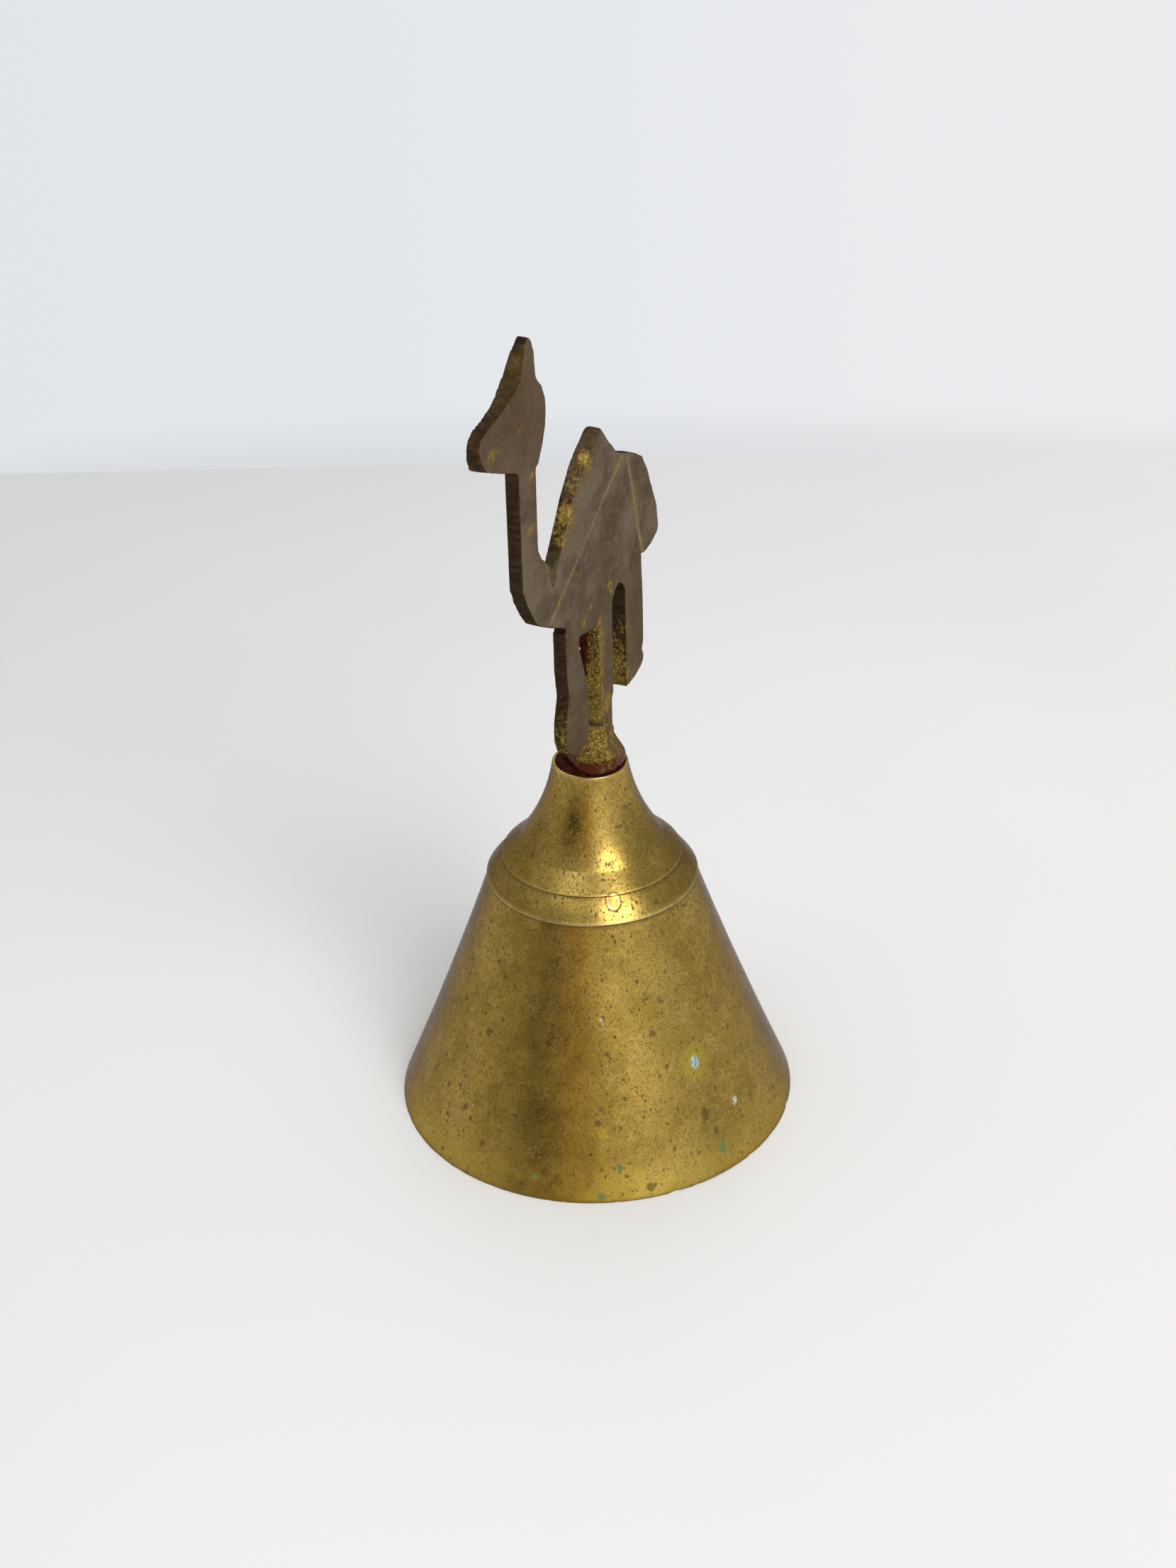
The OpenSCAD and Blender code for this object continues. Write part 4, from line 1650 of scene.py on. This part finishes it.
    def build(self) -> bpy.types.Object:
        """Builds and dresses the camel."""
        camel = self.cast()
        points, normals = points_of(camel), normals_of(camel)
        above = ease(points[:, 2], NECK_TOP - 0.5, NECK_TOP + 0.6)
        flat = np.abs(normals[:, 1])
        edge = 2 * flat * np.sqrt(np.clip(1 - flat * flat, 0, 1))
        side = self.sawn(points, flat)
        crumbs = self.crumbs(points, normals)
        move = 0.10 * cloud(points, 2.6, 1.0) * side + 0.06 * cloud(points, 1.1, 5.0) * side
        steps = cloud(points * np.array([0.35, 0.35, 1.0]), 1.2, 7.0)
        front = ease(-normals[:, 0], 0.3, 0.9)
        move += 0.07 * steps * side * front
        move += 0.035 * cloud(points, 3.5, 2.0) * (1 - side)
        move += crumbs * (0.16 * cloud(points, 0.9, 4.0) + 0.10 * cloud(points, 0.55, 8.0))
        move -= 0.05 * edge
        points += normals * (move * above)[:, None]
        move_points(camel, points)
        self.mask(camel, points, side, edge, crumbs, front)
        finish = CamelBrass("camel_brass_tarnished")
        return self.dress(camel, Slot.TARNISHED, "bell", "camel_handle",
                          finish.material(self.effects))

    def crumbs(self, points: np.ndarray, normals: np.ndarray) -> np.ndarray:
        """Where the sand of the mould left the metal coarse: the post's front and its foot.

        Args:
            points: the camel's points.
            normals: the normals there.

        Returns:
            One value for each point.
        """
        high = self.lifted(self.post_high)
        post = ease(points[:, 2], self.lifted(56.0), self.lifted(57.0))
        post *= 1 - ease(points[:, 2], high - 1.0, high + 1.0)
        post *= 1 - ease(points[:, 0], self.post_near_x - 0.5, self.post_near_x + 0.3)
        post *= ease(points[:, 0], -4.4, -3.6)
        low = 1 - ease(points[:, 2], self.lifted(58.6), self.lifted(60.0))
        facing = -normals[:, 0] - 0.25 * normals[:, 1]
        return post * np.maximum(ease(facing, 0.35, 0.75), low * ease(facing, 0.15, 0.6))

    def mask(self, camel: bpy.types.Object, points: np.ndarray, side: np.ndarray,
             edge: np.ndarray, crumbs: np.ndarray, front: np.ndarray) -> None:
        """Paints where the camel is sawn, rubbed, rough and stained.

        Args:
            camel: the camel.
            points: its points.
            side: how far each is on the sawn edge and not on a face.
            edge: how near each is to a corner.
            crumbs: where it is rough.
            front: how far each faces the camel's nose.
        """
        gold = crumbs
        face = ease(-points[:, 0], -self.post_near_x, -self.post_x - 0.3)
        face *= ease(points[:, 0], self.post_x - 1.0, self.post_x) * (1 - side)
        face *= ease(points[:, 1], 0.0, -1.0) * (points[:, 2] < self.lifted(self.post_high))
        gold = np.maximum(gold, 0.62 * face)
        for rub in self.rubs:
            away = points - np.array(self.placed(rub.x, rub.y, rub.z))
            away[:, 2] /= rub.tall
            gold = np.maximum(gold, rub.strength * fade(np.linalg.norm(away, axis=1), rub.reach))
        flat = points.copy()
        flat[:, 1] = 0.0
        lines = np.full(len(points), 9.0)
        for line in (self.girth, self.haunch):
            for (ax, az), (bx, bz) in zip(line, line[1:]):
                lines = np.minimum(lines, near_line(flat, self.placed(ax, 0, az),
                                                    self.placed(bx, 0, bz)))
        groove = (1 - ease(lines, 0.3, 0.6)) * (points[:, 1] < -1.0)
        broken = 0.5 + 0.5 * cloud(points, 2.2, 12.0)
        gold = np.maximum(gold, 0.6 * groove * ease(broken, 0.45, 0.7))
        leg = front * side * ease(-points[:, 2], -self.lifted(74), -self.lifted(63))
        gold = np.maximum(gold, 0.5 * leg * (points[:, 0] < -7))
        foot = 1 - ease(np.abs(points[:, 2] - self.lifted(57.2)), 0.6, 1.6)
        lac = 0.8 * foot * ease(np.hypot(points[:, 0] - FOOT[0], points[:, 1] - FOOT[1]),
                                   3.6, 4.3)
        toe = fade(points[:, 2] - self.lifted(61.6), 0.8) * (points[:, 0] < -5)
        lac = np.maximum(lac, 0.6 * toe)
        for smear in self.smears:
            gap = near_line(points, self.placed(*smear.start), self.placed(*smear.end))
            lac = np.maximum(lac, smear.strength * fade(gap, smear.reach))
        # the sawn edges, which the material darkens partly with painted shade
        paint(camel, "sawn", side)
        paint(camel, "edge", edge)
        paint(camel, "gold", gold)
        paint(camel, "groove", groove)
        paint(camel, "crumbs", crumbs)
        paint(camel, "lac", lac)


@dataclass
class LacFilling(Assembly):
    """The lac that holds the tang, and what was left of it higher up; sizes in millimetres."""

    bore: float = 4.9
    lumps: int = 44
    leavings: int = 20
    leavings_top: float = 77.4
    leavings_drop: float = 7.0

    def crumble(self, name: str, bm: bmesh.types.BMesh, cell: float) -> bpy.types.Object:
        """Joins lumps into one crumbly piece.

        Args:
            name: the piece's name.
            bm: the overlapping lumps.
            cell: width of a face of the finished skin.

        Returns:
            The piece.
        """
        made = to_object(bm, name)
        remesh(made, cell)
        soften(made, 1)
        points, normals = points_of(made), normals_of(made)
        bumps = 0.09 * cloud(points, 0.8, 2.0) + 0.05 * cloud(points, 0.4, 6.0)
        rise = ease(points[:, 2], NECK_TOP - 0.4, NECK_TOP + 0.1)
        move_points(made, points + normals * (bumps * rise)[:, None])
        return made

    def lump(self, bm: bmesh.types.BMesh, at: Sequence[float], size: Sequence[float]) -> None:
        """Adds a lump to a mesh.

        Args:
            bm: the mesh.
            at: its middle.
            size: its half widths.
        """
        place = Matrix.Translation(Vector(at) * MM) @ Matrix.Diagonal((*(Vector(size) * MM), 1.0))
        bmesh.ops.create_icosphere(bm, subdivisions=3, radius=1.0, matrix=place)

    def build(self) -> None:
        """Builds the filling and the leavings in the gap behind the front leg."""
        bm = joined_mesh("lac_filling")
        draws = np.random.default_rng(23)
        for i in range(self.lumps):
            turn = math.tau * i / self.lumps + draws.uniform(-0.06, 0.06)
            way = Vector((math.cos(turn), math.sin(turn), 0))
            inner = Vector((*FOOT, 0)) + way * FOOT_R
            outer = way * self.bore
            share = draws.uniform(0.25, 0.6)
            at = inner.lerp(outer, share)
            reach = max(0.2, 0.36 * (outer - inner).length)
            reach = min(reach, self.bore - 0.1 - Vector(at).length, 0.8)
            reach = max(reach, 0.14)
            high = draws.uniform(0.12, 0.34) * (0.7 + 0.8 * (way.x < -0.3))
            self.lump(bm, (at.x, at.y, NECK_TOP + 0.12), (reach, reach, high))
        filling = self.crumble("lac_filling_set", bm, 0.16)
        finish = OldLac("old_lac").material(self.effects)
        self.dress(filling, Slot.LAC, "bell", "lac_filling", finish)

        bm = bmesh.new()
        for i in range(self.leavings):
            t = i / (self.leavings - 1)
            at = (-0.75 + 0.35 * draws.uniform(-1, 1), 0.30 + 0.2 * draws.uniform(-1, 1),
                  RAISED + self.leavings_top - self.leavings_drop * t)
            size = draws.uniform(0.35, 0.66) * (1.15 - 0.35 * t)
            self.lump(bm, at, (size * 0.8, size, size * 1.25))
        leavings = self.crumble("lac_leavings", bm, 0.12)
        self.dress(leavings, Slot.LAC, "bell", None, finish)


# the room round the bell: degrees from the viewer, growing towards the viewer's right, and colour
ROOM = (
    (-180.0, (0.44, 0.42, 0.40)), (-100.0, (0.44, 0.42, 0.40)), (-74.0, (0.52, 0.49, 0.40)),
    (-60.0, (0.42, 0.35, 0.20)), (-51.0, (0.02, 0.015, 0.0)), (-36.0, (0.01, 0.006, 0.0)),
    (-27.0, (0.20, 0.11, 0.0)), (-15.0, (0.44, 0.25, 0.01)), (-6.0, (0.70, 0.50, 0.18)),
    (4.0, (1.05, 0.96, 0.78)), (16.0, (1.52, 1.48, 1.40)), (42.0, (1.08, 1.08, 1.06)),
    (76.0, (0.58, 0.58, 0.58)), (120.0, (0.43, 0.43, 0.44)), (180.0, (0.44, 0.42, 0.40)),
)


@dataclass(frozen=True)
class Lobe:
    """A round patch of bright sky: its direction and reach in degrees, and its strength."""

    azimuth: float
    rise: float
    inner: float
    outer: float
    strength: float


WINDOW = Lobe(31.0, 42.0, 8.0, 18.0, 12.6)
LAMP = Lobe(-40.0, 62.0, 6.0, 16.0, 2.3)
FILL = Lobe(172.0, 44.0, 8.0, 22.0, 1.5)
CEILING = (0.61, 0.61, 0.61)
WALL_LEFT = (0.755, 0.785, 0.812)
WALL_RIGHT = (0.828, 0.838, 0.858)


@dataclass
class Studio:
    """The table, the soft light and the camera; lengths in millimetres."""

    effects: Effects
    heading: float = -155.06
    camera: tuple[float, float, float] = (-249.2, -115.8, 208.5)
    pitch: float = 29.60
    roll: float = -1.35
    bearing: float = 65.0
    lens: float = 50.45
    table_behind: float = 262.0
    table_front: float = 2600.0
    table_side: float = 2200.0

    def table(self) -> None:
        """A white table whose far edge lies behind the bell."""
        bm = bmesh.new()
        bmesh.ops.create_grid(bm, x_segments=2, y_segments=2, size=1.0)
        turn = math.radians(self.bearing)
        long = (self.table_behind + self.table_front) / 2
        middle = (self.table_behind - self.table_front) / 2
        place = Matrix.Rotation(-turn, 4, "Z") @ Matrix.Translation((0, middle * MM, 0))
        place @= Matrix.Diagonal((self.table_side * MM, long * MM, 1, 1))
        bmesh.ops.transform(bm, matrix=place, verts=bm.verts)
        top = to_object(bm, "tabletop")
        top.data.materials.append(Tabletop("table_white_painted_falloff").material(self.effects))

    def sky(self) -> None:
        """Soft light all round: a bright ceiling, a window to one side, and a darker room."""
        world = bpy.data.worlds.new("studio")
        bpy.context.scene.world = world
        world.use_nodes = True
        sheet = Sheet(world.node_tree)
        world.node_tree.nodes.clear()
        way = sheet.node("ShaderNodeTexCoord").outputs["Generated"]
        turn = math.radians(self.heading)
        ahead = (math.cos(turn), math.sin(turn), 0.0)
        right = (-math.sin(turn), math.cos(turn), 0.0)
        forth = sheet.vector("DOT_PRODUCT", way, ahead)
        side = sheet.vector("DOT_PRODUCT", way, right)
        rise = sheet.vector("DOT_PRODUCT", way, (0.0, 0.0, 1.0))
        azimuth = sheet.product(sheet.math("ARCTAN2", side, forth), 180 / math.pi)
        room = sheet.node("ShaderNodeValToRGB")
        sheet.feed(room.inputs[0], sheet.remap(azimuth, -180.0, 180.0, smooth=False))
        stops = room.color_ramp.elements
        stops.remove(stops[1])
        for i, (bearing, shade) in enumerate(ROOM):
            stop = stops[0] if i == 0 else stops.new(bearing / 360.0 + 0.5)
            stop.position = bearing / 360.0 + 0.5
            stop.color = (*shade, 1.0)
        light = sheet.mix(sheet.remap(rise, 0.26, 0.62), room.outputs[0], CEILING)

        strength: Feed = 1.0
        for lobe in (FILL, WINDOW, LAMP):
            c, t = math.radians(lobe.azimuth) + turn, math.radians(lobe.rise)
            aim = (math.cos(c) * math.cos(t), math.sin(c) * math.cos(t), math.sin(t))
            bright = sheet.remap(sheet.vector("DOT_PRODUCT", way, aim),
                                 math.cos(math.radians(lobe.outer)),
                                 math.cos(math.radians(lobe.inner)))
            strength = sheet.total(strength, sheet.product(bright, lobe.strength))
        around = sheet.node("ShaderNodeBackground")
        sheet.feed(around.inputs["Color"], light)
        sheet.feed(around.inputs["Strength"], strength)
        # the backdrop that only the camera sees: darker to the left, with a painted shadow line
        # just above the table's far edge
        wall = sheet.node("ShaderNodeBackground")
        pale = sheet.mix(sheet.remap(side, -0.3, 0.3), WALL_LEFT, WALL_RIGHT)
        line = sheet.remap(rise, -0.362, -0.335, 0.90, 1.0)
        sheet.feed(wall.inputs["Color"], sheet.times(pale, line))
        path = sheet.node("ShaderNodeLightPath")
        pick = sheet.node("ShaderNodeMixShader")
        sheet.feed(pick.inputs[0], path.outputs["Is Camera Ray"])
        sheet.feed(pick.inputs[1], around.outputs[0])
        sheet.feed(pick.inputs[2], wall.outputs[0])
        sheet.feed(sheet.node("ShaderNodeOutputWorld").inputs["Surface"], pick.outputs[0])

    def aim(self) -> None:
        """Sets the camera up, looking down on the bell past the camel's nose."""
        pitch, roll, turn = (math.radians(a) for a in (self.pitch, self.roll, self.bearing))
        ahead = Vector((math.cos(pitch) * math.sin(turn), math.cos(pitch) * math.cos(turn),
                        -math.sin(pitch)))
        right = Vector((math.cos(turn), -math.sin(turn), 0))
        up = right.cross(ahead)
        tilted = right * math.cos(roll) + up * math.sin(roll)
        upright = up * math.cos(roll) - right * math.sin(roll)
        data = bpy.data.cameras.new("camera")
        data.sensor_fit, data.sensor_width, data.lens = "AUTO", 36.0, self.lens
        data.clip_start, data.clip_end = 0.01, 20.0
        made = bpy.data.objects.new("camera", data)
        bpy.context.scene.collection.objects.link(made)
        turned = Matrix((tilted, upright, -ahead)).transposed().to_4x4()
        made.matrix_world = Matrix.Translation(Vector(self.camera) * MM) @ turned
        bpy.context.scene.camera = made

    def build(self) -> None:
        """Builds the studio."""
        self.table()
        self.sky()
        self.aim()
        settings = bpy.context.scene.view_settings
        settings.view_transform, settings.look = "Standard", "None"


def main() -> None:
    """Builds the bell round the frame."""
    logging.basicConfig(level=logging.INFO, format="%(name)s: %(message)s", stream=sys.stdout)
    effects = Effects()
    cup = BellCup(effects)
    cup.build()
    CrossPin(effects, cup).build()
    Clapper(effects, cup).build()
    CamelHandle(effects).build()
    LacFilling(effects).build()
    Studio(effects).build()


if __name__ == "__main__":
    main()
